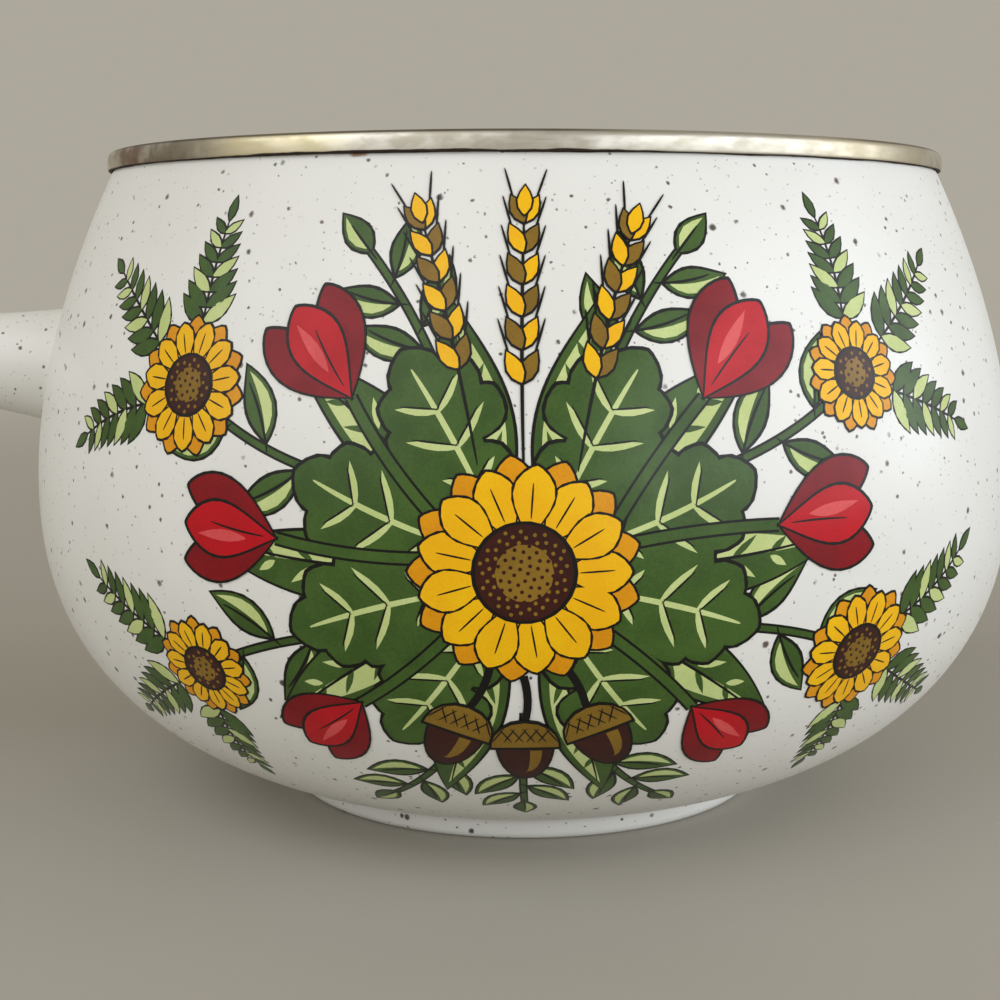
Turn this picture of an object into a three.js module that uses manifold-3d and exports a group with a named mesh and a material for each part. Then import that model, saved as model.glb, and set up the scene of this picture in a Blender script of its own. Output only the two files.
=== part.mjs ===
// Enamel saucepan: a bellied pot of enamelled sheet steel with a stainless band clinched over its rim,
// and a side handle made of an enamelled socket, a turned wooden grip and a tie screw with a hanging ring.
// Millimetres, +Z up. The origin is the centre of the base, on the surface that the pot stands on.
// The handle points along -X.

import * as THREE from 'three';
import { mergeVertices } from 'three/addons/utils/BufferGeometryUtils.js';
import Module from 'manifold-3d';

// Pot: one pressed sheet of even thickness
const POT_HEIGHT = 123.8;
const SHEET = 1.4;
const BELLY_RADIUS = 95;
const BELLY_HEIGHT = 62;
const NECK_RADIUS = 79.4;
const SHOULDER_POWER = 1.8;
const BOWL_FLAT_RADIUS = 11.5;
const BOWL_POWER = 2.33;
const FOOT_RADIUS = 47.3;
const FOOT_HEIGHT = 4.1;
const FOOT_INSIDE_FILLET = 0.4;
const FOOT_CREASE_FILLET = 0.8;

// Rim band: C-section strip over the pot's lip
const BAND_HEIGHT = 3.4;
const BAND_SHEET = 0.7;
const BAND_CORNER = 1.3;
const BAND_INNER_LEG = 3.1;

// Handle: its place on the pot, and the enamelled socket
const HANDLE_HEIGHT = 83;
const HANDLE_TILT = THREE.MathUtils.degToRad(4);
const SOCKET_LENGTH = 46;
const SOCKET_SHEET = 1.2;
const SOCKET_RADIUS = 8.7;
const SOCKET_FLARE = 3;
const SOCKET_FLARE_LENGTH = 24;
const SOCKET_FLARE_POWER = 1.5;

// Ferrule and grip
const FERRULE_LENGTH = 10;
const FERRULE_SHEET = 0.7;
const FERRULE_STEP = 0.6;
const FERRULE_ROUND = 1.2;
const GRIP_LENGTH = 108;
const GRIP_SWELL_RADIUS = 12.8;
const GRIP_SWELL_AT = 66;
const GRIP_END_RADIUS = 10.8;
const GRIP_END_ROUND = 4;

// Tie screw, its nut and washer, and the hanging ring
const SCREW_RADIUS = 2.5;
const SCREW_PAST_NUT = 3;
const NUT_WALL = 1.6;
const NUT_HEIGHT = 4;
const WASHER_RADIUS = 7;
const WASHER_HEIGHT = 1.8;
const WASHER_EDGE = 0.7;
const COLLAR_RADIUS = 4.6;
const COLLAR_LENGTH = 2;
const EYE_HOLE_RADIUS = 4;
const EYE_BAR_RADIUS = 1.9;
const EYE_SUNK = 1;
const RING_RADIUS = 14;
const RING_WIRE_RADIUS = 1.4;

// Clearances
const GAP = 0.3;
const SCREW_CLEARANCE = 0.5;

// Facets round each turned piece, and along each curve
const POT_SEGMENTS = 64;
const HANDLE_SEGMENTS = 28;
const WIRE_SEGMENTS = 10;
const EYE_SEGMENTS = 24;
const RING_SEGMENTS = 36;
const BOWL_STEPS = 13;
const SHOULDER_STEPS = 9;
const FLARE_STEPS = 9;
const GRIP_STEPS = 12;
const ROUND_STEPS = 4;
const SMALL_ROUND_STEPS = 2;
const MERGE_WITHIN = 1e-4;

const wasm = await Module();
wasm.setup();

// A point of an outline: distance from the axis, and height along it
function point(radius, height) {
  return new THREE.Vector2(radius, height);
}

// Points along a round corner, both ends included, with angles in radians from the radius axis
function arc(centre, radius, from, to, steps) {
  const points = [];
  for (let i = 0; i <= steps; i++) {
    const angle = from + (to - from) * i / steps;
    points.push(point(centre.x + radius * Math.cos(angle), centre.y + radius * Math.sin(angle)));
  }
  return points;
}

// Points of a curve given as a function of 0 to 1, both ends included
function sampled(curve, steps) {
  return Array.from({ length: steps + 1 }, (_, i) => curve(i / steps));
}

// The outline moved sideways, to its right as it is walked
function offset(outline, distance) {
  return outline.map((here, i) => {
    const before = outline[Math.max(i - 1, 0)];
    const after = outline[Math.min(i + 1, outline.length - 1)];
    const into = here.clone().sub(before).normalize();
    const out = after.clone().sub(here).normalize();
    const along = into.add(out).normalize();
    return point(here.x + along.y * distance, here.y - along.x * distance);
  });
}

// An outline turned about the Z axis
function turned(outline, segments) {
  return new THREE.LatheGeometry(outline, segments).rotateX(Math.PI / 2);
}

// A wire ring about the Z axis
function wireRing(radius, wireRadius, segments) {
  return new THREE.TorusGeometry(radius, wireRadius, WIRE_SEGMENTS, segments);
}

// A closed geometry as a solid that can be joined and cut
function solid(geometry) {
  const bare = geometry.clone();
  bare.deleteAttribute('normal');
  bare.deleteAttribute('uv');
  const merged = mergeVertices(bare, MERGE_WITHIN);
  return new wasm.Manifold(new wasm.Mesh({
    numProp: 3,
    vertProperties: new Float32Array(merged.attributes.position.array),
    triVerts: new Uint32Array(merged.index.array),
  }));
}

// A joined or cut solid as a geometry again
function geometryOf(body) {
  const mesh = body.getMesh();
  const geometry = new THREE.BufferGeometry();
  geometry.setAttribute('position', new THREE.BufferAttribute(mesh.vertProperties, 3));
  geometry.setIndex(new THREE.BufferAttribute(mesh.triVerts, 1));
  geometry.computeVertexNormals();
  return geometry;
}

// Finishes
function enamel() {
  return new THREE.MeshStandardMaterial({ color: 0xe6e3da, roughness: 0.22, metalness: 0 });
}

function stainless() {
  return new THREE.MeshStandardMaterial({ color: 0xb9b4a8, roughness: 0.3, metalness: 1 });
}

function platedSteel() {
  return new THREE.MeshStandardMaterial({ color: 0xaaa69d, roughness: 0.35, metalness: 1 });
}

function hardwood() {
  return new THREE.MeshStandardMaterial({ color: 0x8a5a33, roughness: 0.5, metalness: 0 });
}

function part(name, geometry, finish) {
  const mesh = new THREE.Mesh(geometry, finish);
  mesh.name = name;
  return mesh;
}

// Pot wall: the bowl is a quarter of a superellipse from the foot's crease to the belly,
// and the shoulder draws in above the belly by a power of the height
const neckHeight = POT_HEIGHT - BAND_HEIGHT;
const bowlWidth = BELLY_RADIUS - BOWL_FLAT_RADIUS;
const creaseReach = Math.pow((FOOT_RADIUS - BOWL_FLAT_RADIUS) / bowlWidth, BOWL_POWER);
const bowlDepth = (BELLY_HEIGHT - FOOT_HEIGHT) / Math.pow(1 - creaseReach, 1 / BOWL_POWER);

function bowlHeight(radius) {
  const reach = Math.pow((radius - BOWL_FLAT_RADIUS) / bowlWidth, BOWL_POWER);
  return BELLY_HEIGHT - bowlDepth * Math.pow(1 - reach, 1 / BOWL_POWER);
}

function bowlPoint(turn) {
  const radius = BOWL_FLAT_RADIUS + bowlWidth * Math.pow(Math.sin(turn), 2 / BOWL_POWER);
  return point(radius, BELLY_HEIGHT - bowlDepth * Math.pow(Math.cos(turn), 2 / BOWL_POWER));
}

function shoulderRadius(height) {
  const rise = (height - BELLY_HEIGHT) / (neckHeight - BELLY_HEIGHT);
  return BELLY_RADIUS - (BELLY_RADIUS - NECK_RADIUS) * Math.pow(rise, SHOULDER_POWER);
}

// Turn of the bowl curve at which it has a given radius
function bowlTurn(radius) {
  return Math.asin(Math.pow((radius - BOWL_FLAT_RADIUS) / bowlWidth, BOWL_POWER / 2));
}

// Outside of the pot from the centre of the base to the neck
function potOutside() {
  const footFillet = FOOT_INSIDE_FILLET + SHEET;
  const step = 0.01;
  const rise = (bowlHeight(FOOT_RADIUS + step) - bowlHeight(FOOT_RADIUS)) / step;
  const slope = Math.atan(rise);
  const bowlStart = FOOT_RADIUS + FOOT_CREASE_FILLET * (1 - Math.sin(slope));
  const creaseHeight = bowlHeight(bowlStart) - FOOT_CREASE_FILLET * Math.cos(slope);
  const firstTurn = bowlTurn(bowlStart);
  const bowl = sampled((t) => bowlPoint(THREE.MathUtils.lerp(firstTurn, Math.PI / 2, t)), BOWL_STEPS);
  const shoulder = sampled((t) => {
    const height = THREE.MathUtils.lerp(BELLY_HEIGHT, neckHeight, t);
    return point(shoulderRadius(height), height);
  }, SHOULDER_STEPS);
  return [
    point(0, 0),
    ...arc(point(FOOT_RADIUS - footFillet, footFillet), footFillet, -Math.PI / 2, 0, ROUND_STEPS),
    ...arc(point(FOOT_RADIUS + FOOT_CREASE_FILLET, creaseHeight), FOOT_CREASE_FILLET,
      Math.PI, Math.PI / 2 + slope, SMALL_ROUND_STEPS),
    ...bowl.slice(1),
    ...shoulder.slice(1),
  ];
}

function makePotBody() {
  const lipHeight = POT_HEIGHT - BAND_SHEET - GAP;
  const outside = [...potOutside(), point(NECK_RADIUS, lipHeight)];
  const inside = offset(outside, -SHEET).reverse();
  const outline = [...outside, ...inside];
  return part('pot_body', turned(outline, POT_SEGMENTS), enamel());
}

// Rim band: its channel clears the lip by the gap all round, and its top is flat between round corners
function makeRimBand() {
  const outer = NECK_RADIUS + GAP + BAND_SHEET;
  const inner = NECK_RADIUS - SHEET - GAP - BAND_SHEET;
  const channelCorner = BAND_CORNER - BAND_SHEET;
  const cornerHeight = POT_HEIGHT - BAND_CORNER;
  const outerCorner = point(outer - BAND_CORNER, cornerHeight);
  const innerCorner = point(inner + BAND_CORNER, cornerHeight);
  const innerFoot = POT_HEIGHT - BAND_INNER_LEG;
  const outline = [
    point(outer, neckHeight),
    ...arc(outerCorner, BAND_CORNER, 0, Math.PI / 2, ROUND_STEPS),
    ...arc(innerCorner, BAND_CORNER, Math.PI / 2, Math.PI, ROUND_STEPS),
    point(inner, innerFoot),
    point(inner + BAND_SHEET, innerFoot),
    ...arc(innerCorner, channelCorner, Math.PI, Math.PI / 2, SMALL_ROUND_STEPS),
    ...arc(outerCorner, channelCorner, Math.PI / 2, 0, SMALL_ROUND_STEPS),
    point(outer - BAND_SHEET, neckHeight),
    point(outer, neckHeight),
  ];
  return part('rim_band', turned(outline, POT_SEGMENTS), stainless());
}

// Stations along the handle's axis, measured from the outside of the pot's wall
const ferruleStart = SOCKET_LENGTH + GAP;
const ferruleRadius = SOCKET_RADIUS + FERRULE_STEP;
const spigotRadius = ferruleRadius - FERRULE_SHEET - GAP;
const spigotStart = ferruleStart + FERRULE_SHEET + GAP;
const gripShoulder = ferruleStart + FERRULE_LENGTH + GAP;
const gripEnd = gripShoulder + GRIP_LENGTH;
const washerStart = gripEnd + GAP;
const collarStart = washerStart + WASHER_HEIGHT + GAP;
const collarEnd = collarStart + COLLAR_LENGTH;
const eyeRadius = EYE_HOLE_RADIUS + EYE_BAR_RADIUS;
const eyeCentre = collarEnd + eyeRadius + EYE_BAR_RADIUS - EYE_SUNK;
const nutStart = SOCKET_LENGTH - SOCKET_SHEET - GAP - NUT_HEIGHT;
const screwHole = SCREW_RADIUS + SCREW_CLEARANCE;

// The handle's own frame: its Z axis runs out along the handle from the pot's wall
const handle = new THREE.Group();
handle.position.set(-shoulderRadius(HANDLE_HEIGHT), 0, HANDLE_HEIGHT);
handle.rotation.y = HANDLE_TILT - Math.PI / 2;
handle.updateMatrix();

// Socket: a flared tube with a turned-in end, its root cut to the pot's curve
function socketRadius(station) {
  const flare = Math.max(1 - station / SOCKET_FLARE_LENGTH, 0);
  return SOCKET_RADIUS + SOCKET_FLARE * Math.pow(flare, SOCKET_FLARE_POWER);
}

function makeHandleSocket() {
  const buried = SOCKET_RADIUS;
  const flareEnd = Math.min(SOCKET_FLARE_LENGTH, SOCKET_LENGTH - 2 * SOCKET_SHEET);
  const flare = sampled((t) => {
    const station = THREE.MathUtils.lerp(-buried, flareEnd, t);
    return point(socketRadius(station), station);
  }, FLARE_STEPS);
  const bore = offset(flare, -SOCKET_SHEET).reverse();
  const outline = [
    ...flare,
    point(SOCKET_RADIUS, SOCKET_LENGTH),
    point(screwHole, SOCKET_LENGTH),
    point(screwHole, SOCKET_LENGTH - SOCKET_SHEET),
    point(SOCKET_RADIUS - SOCKET_SHEET, SOCKET_LENGTH - SOCKET_SHEET),
    ...bore,
    flare[0],
  ];
  const clearOfPot = offset([...potOutside(), point(NECK_RADIUS, POT_HEIGHT)], GAP);
  const envelope = turned([...clearOfPot, point(0, POT_HEIGHT)], POT_SEGMENTS);
  envelope.applyMatrix4(handle.matrix.clone().invert());
  const socket = solid(turned(outline, HANDLE_SEGMENTS)).subtract(solid(envelope));
  return part('handle_socket', geometryOf(socket), enamel());
}

function makeSocketNut() {
  const bore = SCREW_RADIUS + GAP;
  const corner = (bore + NUT_WALL) / Math.cos(Math.PI / 6);
  const hexagon = new THREE.Shape();
  for (let side = 0; side < 6; side++) {
    const angle = side * Math.PI / 3;
    const [x, y] = [corner * Math.cos(angle), corner * Math.sin(angle)];
    if (side === 0) hexagon.moveTo(x, y);
    else hexagon.lineTo(x, y);
  }
  hexagon.closePath();
  hexagon.holes.push(new THREE.Path().absarc(0, 0, bore, 0, 2 * Math.PI, true));
  const nut = new THREE.ExtrudeGeometry(hexagon, {
    depth: NUT_HEIGHT, bevelEnabled: false, curveSegments: HANDLE_SEGMENTS / 2,
  });
  nut.translate(0, 0, nutStart);
  return part('socket_nut', nut, platedSteel());
}

// Ferrule: a cup with a round bottom edge, whose bottom bears on the socket
function makeFerrule() {
  const cupEnd = ferruleStart + FERRULE_LENGTH;
  const edge = point(ferruleRadius - FERRULE_ROUND, ferruleStart + FERRULE_ROUND);
  const insideRound = FERRULE_ROUND - FERRULE_SHEET;
  const outline = [
    point(screwHole, ferruleStart),
    ...arc(edge, FERRULE_ROUND, -Math.PI / 2, 0, ROUND_STEPS),
    point(ferruleRadius, cupEnd),
    point(ferruleRadius - FERRULE_SHEET, cupEnd),
    ...arc(edge, insideRound, 0, -Math.PI / 2, SMALL_ROUND_STEPS),
    point(screwHole, ferruleStart + FERRULE_SHEET),
    point(screwHole, ferruleStart),
  ];
  return part('ferrule', turned(outline, HANDLE_SEGMENTS), stainless());
}

// Grip: a spigot in the ferrule, then a neck flush with it, a swell for the palm and a rounded end
function gripRadius(station) {
  const swellEnd = GRIP_LENGTH - GRIP_END_ROUND;
  const ease = (t) => (1 - Math.cos(Math.PI * t)) / 2;
  if (station < GRIP_SWELL_AT) {
    return THREE.MathUtils.lerp(ferruleRadius, GRIP_SWELL_RADIUS, ease(station / GRIP_SWELL_AT));
  }
  const fall = ease((station - GRIP_SWELL_AT) / (swellEnd - GRIP_SWELL_AT));
  return THREE.MathUtils.lerp(GRIP_SWELL_RADIUS, GRIP_END_RADIUS, fall);
}

function makeGrip() {
  const side = sampled((t) => {
    const station = t * (GRIP_LENGTH - GRIP_END_ROUND);
    return point(gripRadius(station), gripShoulder + station);
  }, GRIP_STEPS);
  const end = point(GRIP_END_RADIUS - GRIP_END_ROUND, gripEnd - GRIP_END_ROUND);
  const spigotChamfer = FERRULE_ROUND - FERRULE_SHEET;
  const outline = [
    point(screwHole, spigotStart),
    point(spigotRadius - spigotChamfer, spigotStart),
    point(spigotRadius, spigotStart + spigotChamfer),
    point(spigotRadius, gripShoulder),
    ...side,
    ...arc(end, GRIP_END_ROUND, 0, Math.PI / 2, ROUND_STEPS).slice(1),
    point(screwHole, gripEnd),
    point(screwHole, spigotStart),
  ];
  return part('grip', turned(outline, HANDLE_SEGMENTS), hardwood());
}

function makeEndWasher() {
  const edgeTop = washerStart + WASHER_EDGE;
  const crown = washerStart + WASHER_HEIGHT;
  const crownRadius = COLLAR_RADIUS + GAP;
  const dome = sampled((t) => {
    const turn = t * Math.PI / 2;
    const radius = THREE.MathUtils.lerp(crownRadius, WASHER_RADIUS, Math.cos(turn));
    return point(radius, THREE.MathUtils.lerp(edgeTop, crown, Math.sin(turn)));
  }, ROUND_STEPS);
  const outline = [
    point(screwHole, washerStart),
    point(WASHER_RADIUS, washerStart),
    ...dome,
    point(screwHole, crown),
    point(screwHole, washerStart),
  ];
  return part('end_washer', turned(outline, HANDLE_SEGMENTS), platedSteel());
}

// Tie screw: a long shank with a collar, and an eye that stands upright on the collar
function makeTieScrew() {
  const tip = nutStart - SCREW_PAST_NUT;
  const chamfer = SCREW_CLEARANCE;
  const shank = turned([
    point(0, tip),
    point(SCREW_RADIUS - chamfer, tip),
    point(SCREW_RADIUS, tip + chamfer),
    point(SCREW_RADIUS, collarStart),
    point(COLLAR_RADIUS, collarStart),
    point(COLLAR_RADIUS, collarEnd),
    point(0, collarEnd),
  ], HANDLE_SEGMENTS);
  const eye = wireRing(eyeRadius, EYE_BAR_RADIUS, EYE_SEGMENTS);
  eye.rotateX(Math.PI / 2).translate(0, 0, eyeCentre);
  const screw = solid(shank).add(solid(eye));
  return part('tie_screw', geometryOf(screw), platedSteel());
}

// Ring: it hangs straight down from the lowest point inside the eye
function makeHangRing() {
  const wire = wireRing(RING_RADIUS, RING_WIRE_RADIUS, RING_SEGMENTS);
  const ring = part('hang_ring', wire, platedSteel());
  const seat = new THREE.Vector3(0, 0, eyeCentre).applyMatrix4(handle.matrix);
  seat.z -= EYE_HOLE_RADIUS - RING_WIRE_RADIUS - GAP;
  ring.position.set(seat.x, seat.y, seat.z - RING_RADIUS);
  ring.rotation.y = Math.PI / 2;
  return ring;
}

handle.add(
  makeHandleSocket(),
  makeSocketNut(),
  makeFerrule(),
  makeGrip(),
  makeEndWasher(),
  makeTieScrew(),
);

const saucepan = new THREE.Group();
saucepan.name = 'saucepan';
saucepan.add(makePotBody(), makeRimBand(), handle, makeHangRing());

export default saucepan;
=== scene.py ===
# %% [markdown]
# # An enamel saucepan, dressed in Blender
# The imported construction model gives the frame: nine solids at their real size, in metres, with the
# centre of the pot's base at the origin, +Z up and the handle along -X. Each step below makes one
# piece or one finish of the real pan and lays it over its solid.

# %% Load the frame
import cmath
import math

import bpy
import numpy as np
from mathutils import Matrix, Vector


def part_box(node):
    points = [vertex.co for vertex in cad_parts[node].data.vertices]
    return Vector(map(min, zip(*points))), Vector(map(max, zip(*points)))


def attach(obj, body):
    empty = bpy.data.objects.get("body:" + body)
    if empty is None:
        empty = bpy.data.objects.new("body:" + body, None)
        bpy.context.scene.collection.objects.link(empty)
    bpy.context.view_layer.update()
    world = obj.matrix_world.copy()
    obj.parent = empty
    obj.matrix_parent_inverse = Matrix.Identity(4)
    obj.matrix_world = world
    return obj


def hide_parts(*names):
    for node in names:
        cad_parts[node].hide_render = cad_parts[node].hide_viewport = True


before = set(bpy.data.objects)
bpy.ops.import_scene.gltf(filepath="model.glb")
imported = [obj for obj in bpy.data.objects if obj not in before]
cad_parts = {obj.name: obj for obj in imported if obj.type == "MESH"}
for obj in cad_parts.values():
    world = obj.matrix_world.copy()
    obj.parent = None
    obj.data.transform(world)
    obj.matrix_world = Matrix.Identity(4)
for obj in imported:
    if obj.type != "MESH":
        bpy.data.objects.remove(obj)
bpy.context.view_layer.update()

MM = 0.001
FIT_GAP = 0.3 * MM
print("frame:", sorted(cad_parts))

# %% [markdown]
# ## The camera
# The photograph looks at the pot from the front and a little from above. A long lens could flatten
# the rim's ellipse in the same way from further off, but fitting the outline of the pot gives the
# distance and the lens together, so both are kept.

# %% Camera
CAMERA_DISTANCE = 343 * MM
CAMERA_HEIGHT = 103.9 * MM
CAMERA_PITCH = math.radians(8.02)
CAMERA_LENS = 61.2
CAMERA_SENSOR = 36
CAMERA_SHIFT = -0.0245
CAMERA_NEAR = 10 * MM


def deselect():
    """Leave nothing selected, because an operator acts on all that is."""
    bpy.ops.object.select_all(action="DESELECT")


deselect()
bpy.ops.object.camera_add(
    location=(0, -CAMERA_DISTANCE, CAMERA_HEIGHT),
    rotation=(math.pi / 2 - CAMERA_PITCH, 0, 0),
)
camera = bpy.context.object
camera.data.lens = CAMERA_LENS
camera.data.sensor_width = CAMERA_SENSOR
camera.data.shift_x = CAMERA_SHIFT
camera.data.clip_start = CAMERA_NEAR
bpy.context.scene.camera = camera
bpy.context.scene.view_settings.view_transform = "Standard"
print("camera at", tuple(camera.location))

# %% [markdown]
# ## Turning a piece
# Most of this pan is round: the pot is spun or pressed, and the grip is turned on a lathe. In
# Blender a round piece could start from a cylinder with many loops, but one vertex drawn along the
# outline and spun about the axis gives every curve of the section exactly. Outlines are lists of
# (distance from the axis, height along it).

# %% Outlines


def arc(centre, radius, start, end, steps):
    """Points of a round corner, with angles in degrees from the radius axis."""
    angles = [math.radians(start + (end - start) * i / steps) for i in range(steps + 1)]
    return [(centre[0] + radius * math.cos(a), centre[1] + radius * math.sin(a)) for a in angles]


def offset(outline, distance):
    """The outline moved sideways, to its right as it is walked."""
    moved = []
    for i, (x, y) in enumerate(outline):
        before = Vector(outline[max(i - 1, 0)])
        after = Vector(outline[min(i + 1, len(outline) - 1)])
        into = (Vector((x, y)) - before).normalized()
        out = (after - Vector((x, y))).normalized()
        along = (into + out).normalized()
        moved.append((x + along.y * distance, y - along.x * distance))
    return moved


# %% Turning
MERGE_WITHIN = 0.5e-6
SMOOTH_UNDER = math.radians(38)


def draw_outline(name, outline):
    """A new object in edit mode: one vertex, extruded from point to point of the outline."""
    deselect()
    bpy.ops.mesh.primitive_plane_add(size=MM)
    piece = bpy.context.object
    piece.name = name
    bpy.ops.object.mode_set(mode="EDIT")
    bpy.ops.mesh.select_all(action="SELECT")
    bpy.ops.mesh.merge(type="CENTER")
    bpy.ops.transform.translate(value=(outline[0][0], 0, outline[0][1]))
    for (r0, z0), (r1, z1) in zip(outline, outline[1:]):
        bpy.ops.mesh.extrude_vertices_move(TRANSFORM_OT_translate={"value": (r1 - r0, 0, z1 - z0)})
    return piece


def close_mesh():
    """Merge doubles, turn all faces outwards and leave edit mode with smooth shading."""
    bpy.ops.mesh.select_all(action="SELECT")
    bpy.ops.mesh.remove_doubles(threshold=MERGE_WITHIN)
    bpy.ops.mesh.normals_make_consistent(inside=False)
    bpy.ops.object.mode_set(mode="OBJECT")
    bpy.ops.object.shade_smooth_by_angle(angle=SMOOTH_UNDER)


def turned(name, outline, steps):
    """The outline spun once about the Z axis."""
    piece = draw_outline(name, outline)
    bpy.ops.mesh.select_all(action="SELECT")
    bpy.ops.mesh.spin(steps=steps, angle=2 * math.pi, center=(0, 0, 0), axis=(0, 0, 1))
    close_mesh()
    print(name, len(piece.data.polygons), "faces")
    return piece


# %% Picking and dressing a piece


def pick(piece):
    """Select one piece alone and make it the active one."""
    deselect()
    piece.select_set(True)
    bpy.context.view_layer.objects.active = piece


def finish_piece(piece, body, node, material):
    """Give a piece its finish and its body, and hide the solid that it stands for."""
    piece.data.materials.clear()
    piece.data.materials.append(material)
    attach(piece, body)
    if node:
        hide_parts(node)


# %% [markdown]
# ## Node helpers for the finishes
# A finish is a small graph of nodes. Blender's own calls take several lines for one node, so a class
# gives each kind of node that is used here one short word, and each finish below then reads as a
# list of what it is made of. Any input may be a plain value or the output of another node.

# %% Colours


def linear(red, green, blue):
    """A colour given as 0 to 255 on screen, as the linear colour that a shader takes."""
    def channel(value):
        value = value / 255
        return value / 12.92 if value <= 0.04045 else ((value + 0.055) / 1.055) ** 2.4
    return (channel(red), channel(green), channel(blue), 1)


print("middle grey on screen, as light:", round(linear(128, 128, 128)[0], 3))

# %% A graph of nodes


class Graph:
    """A tree of shader nodes, with a word for each kind of node that the finishes use."""

    def __init__(self, tree):
        self.tree = tree

    def feed(self, node, inputs):
        """Set a node's inputs to plain values, or join them to other nodes' outputs."""
        for key, value in inputs.items():
            if isinstance(value, bpy.types.NodeSocket):
                self.tree.links.new(value, node.inputs[key])
            else:
                node.inputs[key].default_value = value
        return node

    def add(self, kind, inputs, **settings):
        """A new node, with its settings and inputs."""
        node = self.tree.nodes.new("ShaderNode" + kind)
        for key, value in settings.items():
            setattr(node, key, value)
        return self.feed(node, inputs)

    def math(self, operation, first, second=0.0):
        return self.add("Math", {0: first, 1: second}, operation=operation).outputs[0]

    def plus(self, first, second):
        return self.math("ADD", first, second)

    def minus(self, first, second):
        return self.math("SUBTRACT", first, second)

    def times(self, first, second):
        return self.math("MULTIPLY", first, second)

    def larger(self, first, second):
        return self.math("MAXIMUM", first, second)

    def vector(self, operation, first, second):
        return self.add("VectorMath", {0: first, 1: second}, operation=operation).outputs[0]

    def length(self, vector):
        return self.add("VectorMath", {0: vector}, operation="LENGTH").outputs["Value"]

    def parts(self, vector):
        return self.add("SeparateXYZ", {0: vector}).outputs

    def joined(self, x, y):
        return self.add("CombineXYZ", {"X": x, "Y": y}).outputs[0]

    def mapped(self, vector, turn=(0, 0, 0), scale=(1, 1, 1)):
        return self.add("Mapping", {"Vector": vector, "Rotation": turn, "Scale": scale}).outputs[0]

    def ramp(self, value, low, high, to_low=0.0, to_high=1.0):
        """A value carried smoothly from the range low to high into another range."""
        ends = {"From Min": low, "From Max": high, "To Min": to_low, "To Max": to_high}
        node = self.add("MapRange", {"Value": value, **ends}, interpolation_type="SMOOTHSTEP")
        return node.outputs["Result"]

    def noise(self, vector, scale, detail=2.0):
        node = self.add("TexNoise", {"Vector": vector, "Scale": scale, "Detail": detail})
        return node.outputs["Fac"]

    def stretched(self, vector, scale, detail=3.0):
        """Noise with its own scale in each direction."""
        return self.noise(self.mapped(vector, scale=scale), 1.0, detail)

    def mix(self, factor, first, second):
        node = self.add("Mix", {"Factor": factor, 6: first, 7: second}, data_type="RGBA")
        return node.outputs[2]

    def tint(self, colour, mask, strength, shade):
        """The colour, covered by a shade where the mask is 1, as far as the strength says."""
        return self.mix(self.times(mask, strength), colour, linear(*shade))

    def bump(self, height, depth):
        node = self.add("Bump", {"Height": height, "Strength": 1.0, "Distance": depth})
        return node.outputs["Normal"]


# %% New finishes and node groups


def new_finish(name):
    """A material with its graph, its shader and the object coordinates."""
    material = bpy.data.materials.new(name)
    material.use_nodes = True
    graph = Graph(material.node_tree)
    shader = material.node_tree.nodes["Principled BSDF"]
    return material, graph, shader, graph.add("TexCoord", {}).outputs["Object"]


def new_group(name, inputs, outputs):
    """A node group with its named sockets: its graph, what it is given and what it puts out."""
    tree = bpy.data.node_groups.new(name, "ShaderNodeTree")
    for way, sockets in (("INPUT", inputs), ("OUTPUT", outputs)):
        for socket, kind in sockets.items():
            tree.interface.new_socket(socket, in_out=way, socket_type="NodeSocket" + kind)
    given = tree.nodes.new("NodeGroupInput").outputs
    return Graph(tree), given, tree.nodes.new("NodeGroupOutput")


# %% [markdown]
# ## Specks
# Speckled enamel gets its brown and grey dots from grains scattered in the white slip. A picture of
# dots would need a seam somewhere, so the dots are cut from a solid instead: grains sit in cells of
# space, and the surface shows each grain that it passes through. Noise bends the cells a little, so
# that few dots are quite round. The enamel and the scratches of the rim band both use the effect, so
# it is a node group.

# %% Speck group
WOBBLE_SCALE = 1400.0
LEAST_GRAIN = 0.45
GRAIN_CORE = 0.4


def make_speck_group():
    graph, given, made = new_group(
        "enamel_specks",
        {"Vector": "Vector", "Cell": "Float", "Radius": "Float", "Wobble": "Float"},
        {"Mask": "Float", "Tone": "Float"},
    )
    sway = graph.add("TexNoise", {"Vector": given["Vector"], "Scale": WOBBLE_SCALE, "Detail": 1.0})
    centred = graph.vector("SUBTRACT", sway.outputs["Color"], (0.5, 0.5, 0.5))
    shift = graph.add("VectorMath", {0: centred, "Scale": given["Wobble"]}, operation="SCALE")
    bent = graph.vector("ADD", given["Vector"], shift.outputs[0])
    scale = graph.math("DIVIDE", 1.0, given["Cell"])
    grains = graph.add("TexVoronoi", {"Vector": bent, "Scale": scale}, feature="F1").outputs
    away = graph.times(grains["Distance"], given["Cell"])
    chance = graph.add("SeparateColor", {0: grains["Color"]}).outputs
    reach = graph.times(given["Radius"], graph.ramp(chance[0], 0.0, 1.0, LEAST_GRAIN, 1.0))
    mask = graph.ramp(away, reach, graph.times(reach, GRAIN_CORE))
    graph.feed(made, {"Mask": mask, "Tone": chance[1]})
    return graph.tree


speck_group = make_speck_group()
print("group:", speck_group.name)

# %% [markdown]
# ## White enamel
# The pot and its handle socket carry one coat of white glass. It is not quite white: broad soft
# clouds, large and small specks, a few drawn-out hairs, and rust that has crept from under the rim
# band. The gloss varies a little and the surface has the faint waves of fired glass.

# %% Specks and rust of the enamel
BAND_FOOT_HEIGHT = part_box("rim_band")[0].z
ENAMEL_WHITE = linear(240, 240, 235)
ENAMEL_CLOUD = linear(234, 233, 227)
SPECK_GREY = linear(44, 38, 35)
SPECK_BROWN = linear(92, 66, 54)
SPECK_WOBBLE = 0.5 * MM
HAIR_TURN = (0.5, 0.9, 0.3)
HAIR_SCALE = (1.0, 0.28, 1.0)
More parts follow.
